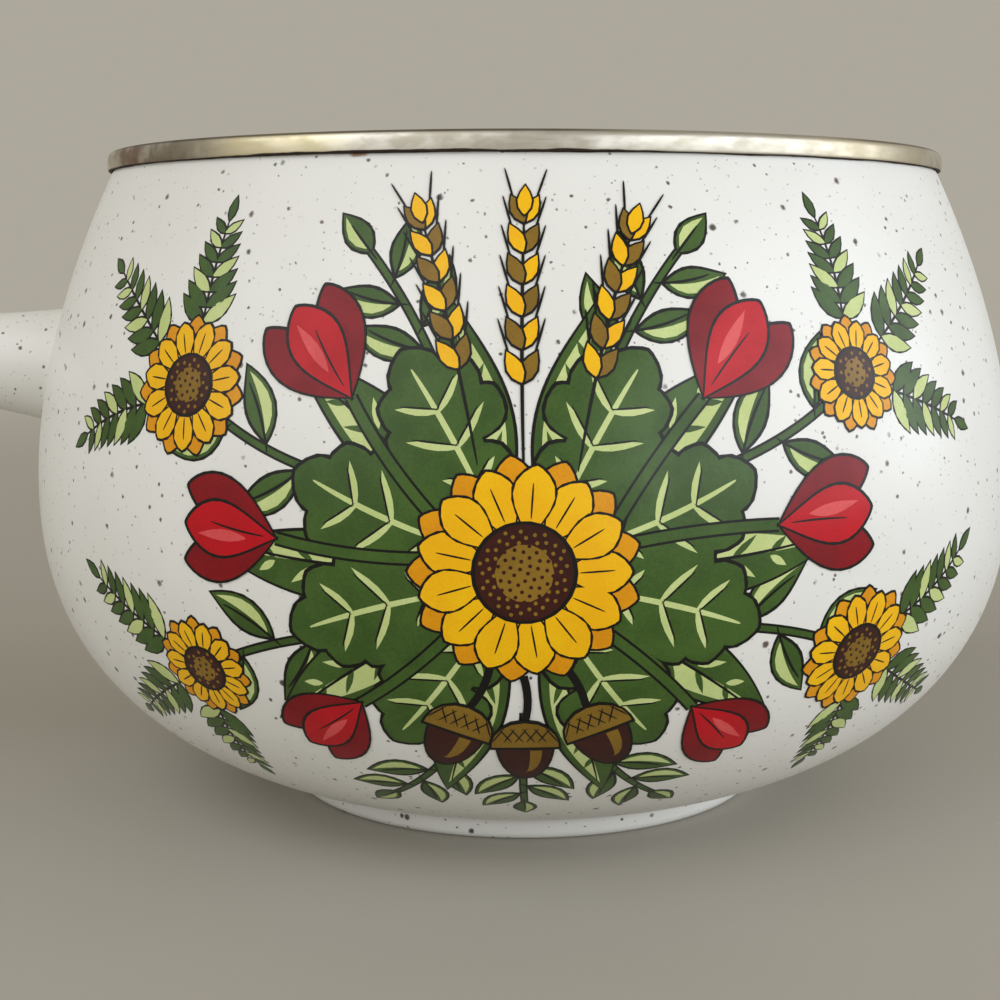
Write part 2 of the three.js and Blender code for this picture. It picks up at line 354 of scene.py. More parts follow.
# Layers of specks: drawn out to hairs or not, cell, largest radius, strength
SPECK_LAYERS = (
    (False, 1.6 * MM, 0.3 * MM, 0.32),
    (True, 1.8 * MM, 0.25 * MM, 0.62),
    (False, 2.6 * MM, 0.46 * MM, 0.9),
    (False, 4.2 * MM, 0.8 * MM, 0.95),
)
RUST_CREEP = 0.6 * MM
RUST_LINE = (BAND_FOOT_HEIGHT + 0.05 * MM, BAND_FOOT_HEIGHT + 0.25 * MM)
RUST_SPOT = (-25.4 * MM, -74.9 * MM, BAND_FOOT_HEIGHT - 0.2 * MM)
RUST_SPOT_FLATNESS = (1.0, 1.0, 3.2)
RUST_SPOT_EDGE = (2.9 * MM, 1.5 * MM)
RUST_SPOT_UNEVEN = 1.6 * MM


def add_specks(graph, place, cell, radius, wobble=SPECK_WOBBLE):
    values = {"Vector": place, "Cell": cell, "Radius": radius, "Wobble": wobble}
    node = graph.add("Group", values, node_tree=speck_group)
    return node.outputs["Mask"], node.outputs["Tone"]


def speckled(graph, place):
    """White with soft clouds, under layers of round and drawn-out specks."""
    clouds = graph.ramp(graph.noise(place, 16.0, 3.0), 0.35, 0.65)
    colour = graph.mix(clouds, ENAMEL_WHITE, ENAMEL_CLOUD)
    hairs = graph.mapped(place, HAIR_TURN, HAIR_SCALE)
    for drawn_out, cell, radius, strength in SPECK_LAYERS:
        mask, tone = add_specks(graph, hairs if drawn_out else place, cell, radius)
        speck = graph.mix(tone, SPECK_GREY, SPECK_BROWN)
        colour = graph.mix(graph.times(mask, strength), colour, speck)
    return colour


def rust(graph, place):
    """The rusted line under the band, and one spot that has run from it."""
    ragged = graph.times(graph.noise(place, 90.0, 4.0), RUST_CREEP)
    under_band = graph.ramp(graph.plus(graph.parts(place)["Z"], ragged), *RUST_LINE)
    from_spot = graph.vector("SUBTRACT", place, RUST_SPOT)
    away = graph.length(graph.vector("MULTIPLY", from_spot, RUST_SPOT_FLATNESS))
    uneven = graph.times(graph.noise(place, 700.0), RUST_SPOT_UNEVEN)
    return under_band, graph.ramp(graph.plus(away, uneven), *RUST_SPOT_EDGE)


# %% Enamel finish
RUST_OCHRE = (150, 98, 36)
RUST_DARK = linear(52, 32, 18)
GLAZE_DULLNESS = (0.285, 0.36)
GLAZE_WAVES = 0.05 * MM


def enamel_finish():
    material, graph, shader, place = new_finish("white_enamel")
    under_band, spot = rust(graph, place)
    colour = graph.tint(speckled(graph, place), spot, 0.85, RUST_OCHRE)
    gloss = graph.ramp(graph.noise(place, 45.0), 0.3, 0.7, *GLAZE_DULLNESS)
    graph.feed(shader, {
        "Base Color": graph.mix(under_band, colour, RUST_DARK),
        "Roughness": graph.plus(gloss, graph.times(graph.larger(under_band, spot), 0.5)),
        "Normal": graph.bump(graph.noise(place, 130.0, 1.0), GLAZE_WAVES),
    })
    return material


white_enamel = enamel_finish()
print("finish:", white_enamel.name)

# %% [markdown]
# ## The pot
# The pot is one pressed sheet: a flat base with a short stepped foot, a bowl that swells to the
# belly, a shoulder that draws in to the neck, and an upright lip under the band. The bowl is a
# quarter of a superellipse, which is fuller than a circle, and the shoulder draws in by a power of
# the height. The inside is the same outline moved in by the sheet's thickness.

# %% Wall of the pot
BELLY_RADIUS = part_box("pot_body")[1].x
POT_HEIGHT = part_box("rim_band")[1].z
LIP_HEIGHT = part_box("pot_body")[1].z
BELLY_HEIGHT = 62 * MM
NECK_RADIUS = 79.4 * MM
SHEET = 1.4 * MM
BOWL_FLAT_RADIUS = 11.5 * MM
BOWL_POWER = 2.33
SHOULDER_POWER = 1.8
FOOT_RADIUS = 47.3 * MM
FOOT_HEIGHT = 4.1 * MM

bowl_width = BELLY_RADIUS - BOWL_FLAT_RADIUS
crease_reach = ((FOOT_RADIUS - BOWL_FLAT_RADIUS) / bowl_width) ** BOWL_POWER
bowl_depth = (BELLY_HEIGHT - FOOT_HEIGHT) / (1 - crease_reach) ** (1 / BOWL_POWER)


def bowl_height(radius):
    reach = ((radius - BOWL_FLAT_RADIUS) / bowl_width) ** BOWL_POWER
    return BELLY_HEIGHT - bowl_depth * (1 - reach) ** (1 / BOWL_POWER)


def wall_radius(height):
    """Outside radius of the bowl and shoulder at a height."""
    if height < BELLY_HEIGHT:
        drop = ((BELLY_HEIGHT - height) / bowl_depth) ** BOWL_POWER
        return BOWL_FLAT_RADIUS + bowl_width * (1 - drop) ** (1 / BOWL_POWER)
    rise = (height - BELLY_HEIGHT) / (BAND_FOOT_HEIGHT - BELLY_HEIGHT)
    return BELLY_RADIUS - (BELLY_RADIUS - NECK_RADIUS) * rise ** SHOULDER_POWER


print("bowl:", round(bowl_depth / MM, 1), "mm deep under the belly")

# %% Pot
FOOT_ROUND = 1.8 * MM
CREASE_ROUND = 1.6 * MM
SLOPE_STEP = 0.01 * MM
FOOT_STEPS = 8
CREASE_STEPS = 6
BOWL_STEPS = 40
SHOULDER_STEPS = 28
POT_STEPS = 192


def foot_outline():
    """The base, the round edge of the foot and the crease; also where the bowl starts."""
    slope = math.atan((bowl_height(FOOT_RADIUS + SLOPE_STEP) - bowl_height(FOOT_RADIUS)) / SLOPE_STEP)
    bowl_start = FOOT_RADIUS + CREASE_ROUND * (1 - math.sin(slope))
    edge = (FOOT_RADIUS - FOOT_ROUND, FOOT_ROUND)
    crease = (FOOT_RADIUS + CREASE_ROUND, bowl_height(bowl_start) - CREASE_ROUND * math.cos(slope))
    points = [(0, 0), (FOOT_RADIUS / 2, 0)]
    points += arc(edge, FOOT_ROUND, -90, 0, FOOT_STEPS)
    points += arc(crease, CREASE_ROUND, 180, 90 + math.degrees(slope), CREASE_STEPS)
    return points, bowl_start


def pot_outside():
    points, bowl_start = foot_outline()
    first_turn = math.asin(((bowl_start - BOWL_FLAT_RADIUS) / bowl_width) ** (BOWL_POWER / 2))
    for i in range(1, BOWL_STEPS + 1):
        turn = first_turn + (math.pi / 2 - first_turn) * i / BOWL_STEPS
        reach = math.sin(turn) ** (2 / BOWL_POWER)
        drop = max(math.cos(turn), 0) ** (2 / BOWL_POWER)
        points.append((BOWL_FLAT_RADIUS + bowl_width * reach, BELLY_HEIGHT - bowl_depth * drop))
    for i in range(1, SHOULDER_STEPS + 1):
        height = BELLY_HEIGHT + (BAND_FOOT_HEIGHT - BELLY_HEIGHT) * i / SHOULDER_STEPS
        points.append((wall_radius(height), height))
    return points + [(NECK_RADIUS, LIP_HEIGHT)]


outside = pot_outside()
inside = offset(outside, -SHEET)
inside[0] = (0, SHEET)
pot = turned("pot_shell", outside + inside[::-1], POT_STEPS)
finish_piece(pot, "pan", "pot_body", white_enamel)

# %% [markdown]
# ## Stainless steel
# The rim band is rolled from bright stainless strip. Rolling leaves fine lines round the band, age
# leaves it mottled, with yellow and brown tarnish in patches, use leaves slanted scratches, and the
# wet joint under it has rusted. A dark line along the top edge is a painted reflection. The finish
# works in the band's own directions: the way round, which is 0 at the front, and the height.

# %% Directions of the band
BAND_OUTER_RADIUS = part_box("rim_band")[1].x
SCRATCH_DRAW = (0.03, 1, 1)
SCRATCH_RADIUS = 0.11 * MM
SCRATCH_WOBBLE = 0.05 * MM


def around(graph, place):
    """The way round the pot in metres along its rim, the height, and the distance from the axis."""
    parts = graph.parts(place)
    angle = graph.math("ARCTAN2", parts["X"], graph.times(parts["Y"], -1.0))
    way = graph.times(angle, BAND_OUTER_RADIUS)
    radius = graph.length(graph.joined(parts["X"], parts["Y"]))
    return graph.joined(way, parts["Z"]), way, parts["Z"], radius


def stretch(graph, way, middle, half):
    """A stretch of the way round with soft ends: 1 in its middle and 0 past its ends."""
    away = graph.math("ABSOLUTE", graph.minus(way, middle))
    return graph.ramp(away, half, 0.3 * half)


def scratches(graph, flat, tilt, spacing):
    """Sparse thin lines: specks that are drawn out along one tilted direction."""
    drawn_out = graph.mapped(flat, (0, 0, math.radians(tilt)), SCRATCH_DRAW)
    return add_specks(graph, drawn_out, spacing, SCRATCH_RADIUS, SCRATCH_WOBBLE)[0]


# %% Tarnish, wear and painted reflection of the band
STEEL_DULL = linear(214, 210, 198)
STEEL_BRIGHT = linear(232, 228, 217)
# Tarnish: the middle of the stretch and half its length, strength, shade
TARNISH = (
    (-41 * MM, 18 * MM, 0.5, (240, 226, 174)),
    (34 * MM, 36 * MM, 0.5, (190, 184, 168)),
    (70 * MM, 26 * MM, 0.5, (210, 196, 164)),
)
STAINS = (
    (-74 * MM, 26 * MM, 0.7, (122, 108, 86)),
    (-83 * MM, 11 * MM, 0.6, (124, 76, 54)),
)
SCRATCHED = (-17 * MM, 34 * MM)
# Painted dark reflection on the round top edge: its height, its distance from the axis, and the stretch
# where it is faint
PAINTED_REFLECTION_HEIGHT = (POT_HEIGHT - 0.55 * MM, POT_HEIGHT - 0.3 * MM)
PAINTED_REFLECTION_RADIUS = (BAND_OUTER_RADIUS - 1.3 * MM, BAND_OUTER_RADIUS - 1.1 * MM)
FAINT_REFLECTION_STRETCH = (36 * MM, 36 * MM)


def band_colour(graph, place, flat, way, lines, mottle):
    """Grey-beige metal with cloudy tarnish: yellow, beige and brown in their own stretches."""
    colour = graph.mix(lines, STEEL_DULL, STEEL_BRIGHT)
    colour = graph.tint(colour, graph.ramp(mottle, 0.38, 0.66), 0.7, (184, 176, 158))
    patches = graph.ramp(graph.stretched(flat, (40, 160, 1)), 0.48, 0.66)
    colour = graph.tint(colour, patches, 0.3, (208, 194, 156))
    for middle, half, strength, shade in TARNISH:
        colour = graph.tint(colour, stretch(graph, way, middle, half), strength, shade)
    stained = graph.ramp(graph.noise(place, 260.0, 3.0), 0.35, 0.6, 0.35, 1.0)
    for middle, half, strength, shade in STAINS:
        mask = graph.times(stretch(graph, way, middle, half), stained)
        colour = graph.tint(colour, mask, strength, shade)
    return colour


def band_wear_and_painted_reflection(graph, colour, flat, way, height, radius):
    """Slanted scratches, most of them near the front, and a painted dark reflection on the top edge."""
    falling = scratches(graph, flat, -34, 0.9 * MM)
    rising = scratches(graph, flat, 24, 1.3 * MM)
    often = graph.ramp(stretch(graph, way, *SCRATCHED), 0.0, 1.0, 0.12, 0.55)
    colour = graph.tint(colour, graph.larger(falling, rising), often, (112, 102, 86))
    # Painted dark reflection: the round top edge darkened, faint in a stretch right of the front
    painted_reflection_edge = graph.times(graph.ramp(height, *PAINTED_REFLECTION_HEIGHT), graph.ramp(radius, *PAINTED_REFLECTION_RADIUS))
    dark_reflection_strength = graph.ramp(stretch(graph, way, *FAINT_REFLECTION_STRETCH), 0.0, 1.0, 0.75, 0.15)
    return graph.tint(colour, painted_reflection_edge, dark_reflection_strength, (70, 58, 40))


# %% Stainless finish
JOINT_MIDDLE = -14 * MM
JOINT_ENDS = (18 * MM, 52 * MM)
JOINT_REACH = (0.34 * MM, 0.1 * MM)
JOINT_EDGE = (0.06 * MM, -0.1 * MM)
JOINT_RUST = linear(40, 24, 8)
BAND_WAVES = 0.04 * MM


def band_joint(graph, place, way, height):
    """The rusted joint under the band, thickest near the front and thin at the sides."""
    off_front = graph.math("ABSOLUTE", graph.minus(way, JOINT_MIDDLE))
    reach = graph.ramp(off_front, *JOINT_ENDS, *JOINT_REACH)
    ragged = graph.ramp(graph.noise(place, 120.0, 4.0), 0.3, 0.7, 0.6, 1.3)
    above = graph.minus(graph.minus(height, BAND_FOOT_HEIGHT), graph.times(ragged, reach))
    return graph.ramp(above, *JOINT_EDGE)


def band_finish():
    material, graph, shader, place = new_finish("rolled_stainless")
    flat, way, height, radius = around(graph, place)
    lines = graph.stretched(flat, (60, 3200, 1))
    mottle = graph.stretched(flat, (190, 420, 1), 4.0)
    colour = band_colour(graph, place, flat, way, lines, mottle)
    colour = band_wear_and_painted_reflection(graph, colour, flat, way, height, radius)
    joint = band_joint(graph, place, way, height)
    gloss = graph.ramp(mottle, 0.3, 0.7, 0.36, 0.5)
    waves = graph.stretched(flat, (110, 180, 1), 2.0)
    graph.feed(shader, {
        "Base Color": graph.mix(joint, colour, JOINT_RUST),
        "Metallic": graph.minus(1.0, joint),
        "Roughness": graph.plus(gloss, graph.times(joint, 0.5)),
        "Anisotropic": 0.5,
        "Anisotropic Rotation": 0.25,
        "Normal": graph.bump(graph.plus(waves, graph.times(lines, 0.1)), BAND_WAVES),
    })
    return material


rolled_stainless = band_finish()
print("finish:", rolled_stainless.name)

# %% [markdown]
# ## The rim band
# The band is a C-section strip clinched over the lip, with a slightly round outer face, a round top
# and a shorter leg inside. A swept curve with a profile could make it too, but turning its section
# keeps the corners true and the channel open for the lip.

# %% Rim band
BAND_SHEET = 0.7 * MM
BAND_CORNER = 1.3 * MM
BAND_INNER_LEG = 3.1 * MM
BAND_EDGE_ROUND = 0.25 * MM
FACE_ROUND = 9 * MM
FACE_TURN = 8
BAND_STEPS = 8
CHANNEL_STEPS = 4
EDGE_STEPS = 3

band_inner_radius = NECK_RADIUS - SHEET - (BAND_OUTER_RADIUS - NECK_RADIUS)
corner_height = POT_HEIGHT - BAND_CORNER
corner_out = FACE_ROUND - BAND_CORNER
face_turn = math.radians(FACE_TURN)
face_height = corner_height - corner_out * math.sin(face_turn)
face_middle = (BAND_OUTER_RADIUS - FACE_ROUND, face_height)
outer_corner = (face_middle[0] + corner_out * math.cos(face_turn), corner_height)
inner_corner = (band_inner_radius + BAND_CORNER, corner_height)
inner_foot = POT_HEIGHT - BAND_INNER_LEG
channel_corner = BAND_CORNER - BAND_SHEET
edge_height = BAND_FOOT_HEIGHT + BAND_EDGE_ROUND
edge_out = FACE_ROUND - BAND_EDGE_ROUND
edge_turn = math.asin((edge_height - face_height) / edge_out)
edge_middle = (face_middle[0] + edge_out * math.cos(edge_turn), edge_height)

band_outline = arc(edge_middle, BAND_EDGE_ROUND, -90, math.degrees(edge_turn), EDGE_STEPS)
band_outline += arc(face_middle, FACE_ROUND, math.degrees(edge_turn), FACE_TURN, BAND_STEPS)[1:]
band_outline += arc(outer_corner, BAND_CORNER, FACE_TURN, 90, BAND_STEPS)[1:]
band_outline += arc(inner_corner, BAND_CORNER, 90, 180, BAND_STEPS)
band_outline += [(band_inner_radius, inner_foot), (band_inner_radius + BAND_SHEET, inner_foot)]
band_outline += arc(inner_corner, channel_corner, 180, 90, CHANNEL_STEPS)
band_outline += arc(outer_corner, channel_corner, 90, 0, CHANNEL_STEPS)
band_outline += [(BAND_OUTER_RADIUS - BAND_SHEET, BAND_FOOT_HEIGHT), band_outline[0]]
band = turned("rim_band_trim", band_outline, POT_STEPS)
finish_piece(band, "pan", "rim_band", rolled_stainless)

# %% [markdown]
# ## The handle's line
# The handle leaves the shoulder of the pot along -X and rises a little. Its pieces are turned about
# their own Z axis first and then laid along that line, with the move applied to the mesh, so that
# each finished object sits at the origin.

# %% Handle placing
HANDLE_HEIGHT = 83 * MM
HANDLE_TILT = math.radians(4)
HANDLE_STEPS = 72

handle_root = Vector((-wall_radius(HANDLE_HEIGHT), 0, HANDLE_HEIGHT))
handle_turn = Matrix.Rotation(HANDLE_TILT - math.pi / 2, 4, "Y")
handle_place = Matrix.Translation(handle_root) @ handle_turn


def lay_on_handle(piece):
    """Move a piece turned about Z on to the handle's line, and apply the move to its mesh."""
    piece.matrix_world = handle_place
    pick(piece)
    bpy.ops.object.transform_apply(location=True, rotation=True, scale=True)
    return piece


def on_handle_line(graph, place):
    """Coordinates turned so that X runs along the handle."""
    return graph.mapped(place, (0, HANDLE_TILT, 0))


print("handle root", [round(x, 4) for x in handle_root])

# %% [markdown]
# ## The handle socket
# A flared steel tube is welded to the wall and enamelled with it, so glass fills the corner in a
# small fillet. The tube is turned straight and its root rings are then slid along the axis until
# they lie on the wall, which a boolean cut would do with a hard edge.

# %% Outline of the socket
SOCKET_LENGTH = 46 * MM
SOCKET_SHEET = 1.2 * MM
SOCKET_RADIUS = 8.7 * MM
SOCKET_FLARE = 3 * MM
SOCKET_FLARE_LENGTH = 24 * MM
SOCKET_FLARE_POWER = 1.5
SOCKET_EDGE_ROUND = 0.8 * MM
FILLET_ROUND = 1.8 * MM
FILLET_BURIED = 0.5 * MM
SCREW_HOLE = 3 * MM
FILLET_STEPS = 10
FLARE_STEPS = 16
SOCKET_EDGE_STEPS = 5


def socket_radius(station):
    flare = max(1 - station / SOCKET_FLARE_LENGTH, 0) ** SOCKET_FLARE_POWER
    return SOCKET_RADIUS + SOCKET_FLARE * flare


def socket_outline():
    fillet = []
    for i in range(FILLET_STEPS + 1):
        turn = math.pi / 2 * i / FILLET_STEPS
        station = FILLET_ROUND * (1 - math.cos(turn))
        fillet.append((socket_radius(station) + FILLET_ROUND * (1 - math.sin(turn)), station))
    flare = SOCKET_FLARE_LENGTH - FILLET_ROUND
    stations = [FILLET_ROUND + flare * i / FLARE_STEPS for i in range(1, FLARE_STEPS + 1)]
    outer = [(fillet[0][0], -FILLET_BURIED)] + fillet + [(socket_radius(s), s) for s in stations]
    bore = [(socket_radius(s) - SOCKET_SHEET, s) for s in [-FILLET_BURIED] + stations][::-1]
    edge = (SOCKET_RADIUS - SOCKET_EDGE_ROUND, SOCKET_LENGTH - SOCKET_EDGE_ROUND)
    floor_height = SOCKET_LENGTH - SOCKET_SHEET
    end = arc(edge, SOCKET_EDGE_ROUND, 0, 90, SOCKET_EDGE_STEPS)
    end += [(SCREW_HOLE, SOCKET_LENGTH), (SCREW_HOLE, floor_height)]
    return outer + end + [(SOCKET_RADIUS - SOCKET_SHEET, floor_height)] + bore + [outer[0]]


print("socket:", round(2 * socket_radius(0) / MM, 1), "mm across at the wall")

# %% Handle socket
ROOT_FADE = 22 * MM
WALL_REACH = 20 * MM
WALL_HALVINGS = 40


def to_wall(across, down):
    """How far along the handle's line a line parallel to it meets the pot's wall."""
    near, far = -WALL_REACH, WALL_REACH
    for _ in range(WALL_HALVINGS):
        middle = (near + far) / 2
        p = handle_place @ Vector((across, down, middle))
        if math.hypot(p.x, p.y) < wall_radius(p.z):
            near = middle
        else:
            far = middle
    return far


socket = turned("handle_socket_tube", socket_outline(), HANDLE_STEPS)
for vertex in socket.data.vertices:
    x, y, station = vertex.co
    fade = max(1 - max(station, 0) / ROOT_FADE, 0) ** 2
    if fade > 0:
        vertex.co.z += to_wall(x, y) * fade
lay_on_handle(socket)
finish_piece(socket, "pan", "handle_socket", white_enamel)

# %% [markdown]
# ## Ferrule
# A small stainless cup closes the inner end of the wooden grip and bears on the socket. It is spun
# from sheet, so its fine lines run round the handle, and it has gone a little dull in patches.

# %% Ferrule
FERRULE_START = SOCKET_LENGTH + FIT_GAP
FERRULE_LENGTH = 10 * MM
FERRULE_SHEET = 0.7 * MM
FERRULE_RADIUS = SOCKET_RADIUS + 0.6 * MM
FERRULE_ROUND = 1.2 * MM
FERRULE_STEPS = 6
FERRULE_LINES = 0.006 * MM

cup_end = FERRULE_START + FERRULE_LENGTH
cup_edge = (FERRULE_RADIUS - FERRULE_ROUND, FERRULE_START + FERRULE_ROUND)
cup_outline = [(SCREW_HOLE, FERRULE_START)]
cup_outline += arc(cup_edge, FERRULE_ROUND, -90, 0, FERRULE_STEPS)
cup_outline += [(FERRULE_RADIUS, cup_end), (FERRULE_RADIUS - FERRULE_SHEET, cup_end)]
cup_outline += arc(cup_edge, FERRULE_ROUND - FERRULE_SHEET, 0, -90, CHANNEL_STEPS)
cup_outline += [(SCREW_HOLE, FERRULE_START + FERRULE_SHEET), cup_outline[0]]


def spun_finish():
    material, graph, shader, place = new_finish("spun_stainless")
    along = on_handle_line(graph, place)
    lines = graph.stretched(along, (2600, 90, 90))
    mottle = graph.stretched(along, (260, 200, 200), 4.0)
    colour = graph.mix(lines, linear(196, 192, 182), linear(222, 219, 210))
    graph.feed(shader, {
        "Base Color": graph.tint(colour, graph.ramp(mottle, 0.45, 0.7), 0.5, (176, 164, 140)),
        "Metallic": 1.0,
        "Roughness": graph.ramp(mottle, 0.3, 0.7, 0.29, 0.44),
        "Normal": graph.bump(lines, FERRULE_LINES),
    })
    return material


ferrule = lay_on_handle(turned("ferrule_cup", cup_outline, HANDLE_STEPS))
finish_piece(ferrule, "pan", "ferrule", spun_finish())

# %% [markdown]
# ## Oiled hardwood
# The grip is turned from a straight-grained hardwood, so its grain runs along the handle. A mapping
# turns the coordinates into the handle's line; long thin noise gives the pores, and slanted layers
# that sway give the growth rings that a lathe cuts into long ovals.

# %% Hardwood finish
RING_SLANT = 0.55
RINGS_PER_METRE = 330.0
RING_SWAY = 5.0
GRAIN_DEPTH = 0.04 * MM


def hardwood_finish():
    material, graph, shader, place = new_finish("oiled_hardwood")
    along = on_handle_line(graph, place)
    sway = graph.stretched(along, (9, 40, 40), 2.0)
    parts = graph.parts(along)
    depth = graph.plus(parts["Y"], graph.times(parts["Z"], RING_SLANT))
    layer = graph.plus(graph.times(depth, RINGS_PER_METRE), graph.times(sway, RING_SWAY))
    rings = graph.ramp(graph.math("FRACT", layer), 0.0, 1.0)
    pores = graph.ramp(graph.stretched(along, (120, 2600, 2600)), 0.52, 0.68)
    streaks = graph.stretched(along, (22, 420, 420))
    colour = graph.mix(rings, linear(150, 96, 52), linear(112, 66, 34))
    colour = graph.mix(graph.ramp(streaks, 0.35, 0.7), colour, linear(132, 82, 44))
    graph.feed(shader, {
        "Base Color": graph.tint(colour, pores, 0.6, (60, 32, 16)),
        "Roughness": graph.ramp(streaks, 0.3, 0.7, 0.36, 0.52),
        "Normal": graph.bump(graph.minus(streaks, pores), GRAIN_DEPTH),
    })
    return material


oiled_hardwood = hardwood_finish()
print("finish:", oiled_hardwood.name)

# %% [markdown]
# ## The grip
# The grip has a spigot in the ferrule, a neck flush with it, a swell for the palm and a rounded
# end, and a bore for the tie screw. Two fine grooves near each end are cut by the lathe's point.

# %% Grip
GRIP_START = FERRULE_START + FERRULE_LENGTH + FIT_GAP
GRIP_LENGTH = 108 * MM
GRIP_SWELL_RADIUS = 12.8 * MM
GRIP_SWELL_AT = 66 * MM
GRIP_END_RADIUS = 10.8 * MM
GRIP_END_ROUND = 4 * MM
GRIP_END_STEPS = 10
GROOVES_AT = (9 * MM, 12 * MM, 93 * MM, 96 * MM)
GROOVE_DEPTH = 0.5 * MM
GROOVE_WIDTH = 0.8 * MM
GRIP_STATION_STEP = 0.5 * MM

spigot_start = FERRULE_START + FERRULE_SHEET + FIT_GAP
spigot_radius = FERRULE_RADIUS - FERRULE_SHEET - FIT_GAP
spigot_chamfer = FERRULE_ROUND - FERRULE_SHEET
grip_end = GRIP_START + GRIP_LENGTH
side_length = GRIP_LENGTH - GRIP_END_ROUND


def ease(t):
    return (1 - math.cos(math.pi * t)) / 2


def grip_radius(station):
    if station < GRIP_SWELL_AT:
        share = ease(station / GRIP_SWELL_AT)
        radius = FERRULE_RADIUS + (GRIP_SWELL_RADIUS - FERRULE_RADIUS) * share
    else:
        share = ease((station - GRIP_SWELL_AT) / (side_length - GRIP_SWELL_AT))
        radius = GRIP_SWELL_RADIUS + (GRIP_END_RADIUS - GRIP_SWELL_RADIUS) * share
    for groove in GROOVES_AT:
        radius -= GROOVE_DEPTH * max(1 - abs(station - groove) / GROOVE_WIDTH, 0)
    return radius


stations = [i * GRIP_STATION_STEP for i in range(round(side_length / GRIP_STATION_STEP) + 1)]
end_middle = (GRIP_END_RADIUS - GRIP_END_ROUND, grip_end - GRIP_END_ROUND)
grip_outline = [(SCREW_HOLE, spigot_start), (spigot_radius - spigot_chamfer, spigot_start)]
grip_outline += [(spigot_radius, spigot_start + spigot_chamfer), (spigot_radius, GRIP_START)]
grip_outline += [(grip_radius(station), GRIP_START + station) for station in stations]
grip_outline += arc(end_middle, GRIP_END_ROUND, 0, 90, GRIP_END_STEPS)[1:]
grip_outline += [(SCREW_HOLE, grip_end), grip_outline[0]]
grip = lay_on_handle(turned("turned_grip", grip_outline, HANDLE_STEPS))
finish_piece(grip, "pan", "grip", oiled_hardwood)

# %% [markdown]
# ## Plated steel
# The screw, its nut, the washer and the ring are plain steel with a thin bright plating that has
# gone grey. Fine mottling and small dull spots keep it from looking like chrome.

# %% Plated steel finish
PLATING_DEPTH = 0.01 * MM


def plated_finish():
    material, graph, shader, place = new_finish("grey_plating")
    mottle = graph.noise(place, 420.0, 4.0)
    spots = graph.ramp(graph.noise(place, 900.0), 0.62, 0.72)
    colour = graph.mix(mottle, linear(158, 154, 146), linear(196, 193, 186))
    gloss = graph.ramp(mottle, 0.3, 0.7, 0.26, 0.4)
    graph.feed(shader, {
        "Base Color": graph.tint(colour, spots, 0.5, (104, 92, 78)),
        "Metallic": 1.0,
        "Roughness": graph.plus(gloss, graph.times(spots, 0.2)),
        "Normal": graph.bump(mottle, PLATING_DEPTH),
    })
    return material


grey_plating = plated_finish()
socket_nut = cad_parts["socket_nut"]
socket_nut.data.materials.clear()
socket_nut.data.materials.append(grey_plating)
print("finish:", grey_plating.name, "also on", socket_nut.name)

# %% [markdown]
# ## Washer and tie screw
# A domed washer spreads the pull of the screw over the grip's end. The screw itself is turned, and
# the eye that stands on its collar is a bent bar, so a torus joined to the collar by a boolean
# makes one clean body of the two.

# %% Washer
WASHER_START = grip_end + FIT_GAP
WASHER_RADIUS = 7 * MM
WASHER_HEIGHT = 1.8 * MM
WASHER_EDGE = 0.7 * MM
WASHER_STEPS = 8
COLLAR_RADIUS = 4.6 * MM

washer_crown = WASHER_START + WASHER_HEIGHT
crown_radius = COLLAR_RADIUS + FIT_GAP
washer_outline = [(SCREW_HOLE, WASHER_START), (WASHER_RADIUS, WASHER_START)]
for i in range(WASHER_STEPS + 1):
    turn = math.pi / 2 * i / WASHER_STEPS
    washer_outline.append((
        crown_radius + (WASHER_RADIUS - crown_radius) * math.cos(turn),
        WASHER_START + WASHER_EDGE + (WASHER_HEIGHT - WASHER_EDGE) * math.sin(turn),
    ))
washer_outline += [(SCREW_HOLE, washer_crown), washer_outline[0]]
washer = lay_on_handle(turned("domed_washer", washer_outline, HANDLE_STEPS))
finish_piece(washer, "pan", "end_washer", grey_plating)

# %% Tie screw
SCREW_RADIUS = 2.5 * MM
SCREW_TIP = 37.5 * MM
SCREW_CHAMFER = 0.5 * MM
COLLAR_LENGTH = 2 * MM
COLLAR_ROUND = 0.5 * MM
COLLAR_STEPS = 4
EYE_RADIUS = 5.9 * MM
EYE_BAR_RADIUS = 1.9 * MM
EYE_SUNK = 1 * MM
EYE_STEPS = 64
BAR_SIDES = 24

collar_start = washer_crown + FIT_GAP
collar_end = collar_start + COLLAR_LENGTH
collar_corner = (COLLAR_RADIUS - COLLAR_ROUND, collar_end - COLLAR_ROUND)
eye_centre = collar_end + EYE_RADIUS + EYE_BAR_RADIUS - EYE_SUNK
screw_outline = [(0, SCREW_TIP), (SCREW_RADIUS - SCREW_CHAMFER, SCREW_TIP)]
screw_outline += [(SCREW_RADIUS, SCREW_TIP + SCREW_CHAMFER), (SCREW_RADIUS, collar_start)]
screw_outline += [(COLLAR_RADIUS, collar_start)]
screw_outline += arc(collar_corner, COLLAR_ROUND, 0, 90, COLLAR_STEPS)
screw_outline += [(0, collar_end)]
screw = turned("eye_screw", screw_outline, HANDLE_STEPS)

deselect()
bpy.ops.mesh.primitive_torus_add(
    location=(0, 0, eye_centre), rotation=(math.pi / 2, 0, 0),
    major_segments=EYE_STEPS, minor_segments=BAR_SIDES,
    major_radius=EYE_RADIUS, minor_radius=EYE_BAR_RADIUS,
)
eye = bpy.context.object
joining = screw.modifiers.new("join_eye", "BOOLEAN")
joining.operation = "UNION"
joining.object = eye
pick(screw)
bpy.ops.object.modifier_apply(modifier=joining.name)
bpy.data.objects.remove(eye)
lay_on_handle(screw)
bpy.ops.object.shade_smooth_by_angle(angle=SMOOTH_UNDER)
finish_piece(screw, "pan", "tie_screw", grey_plating)
print("tie screw with eye:", len(screw.data.polygons), "faces")

# %% [markdown]
# ## The hanging ring
# The ring is bent from round wire and its ends only meet, so it keeps a hair of a gap at the
# bottom. A wire circle spun by a little less than a full turn gives that gap, and its two ends are
# then filled.

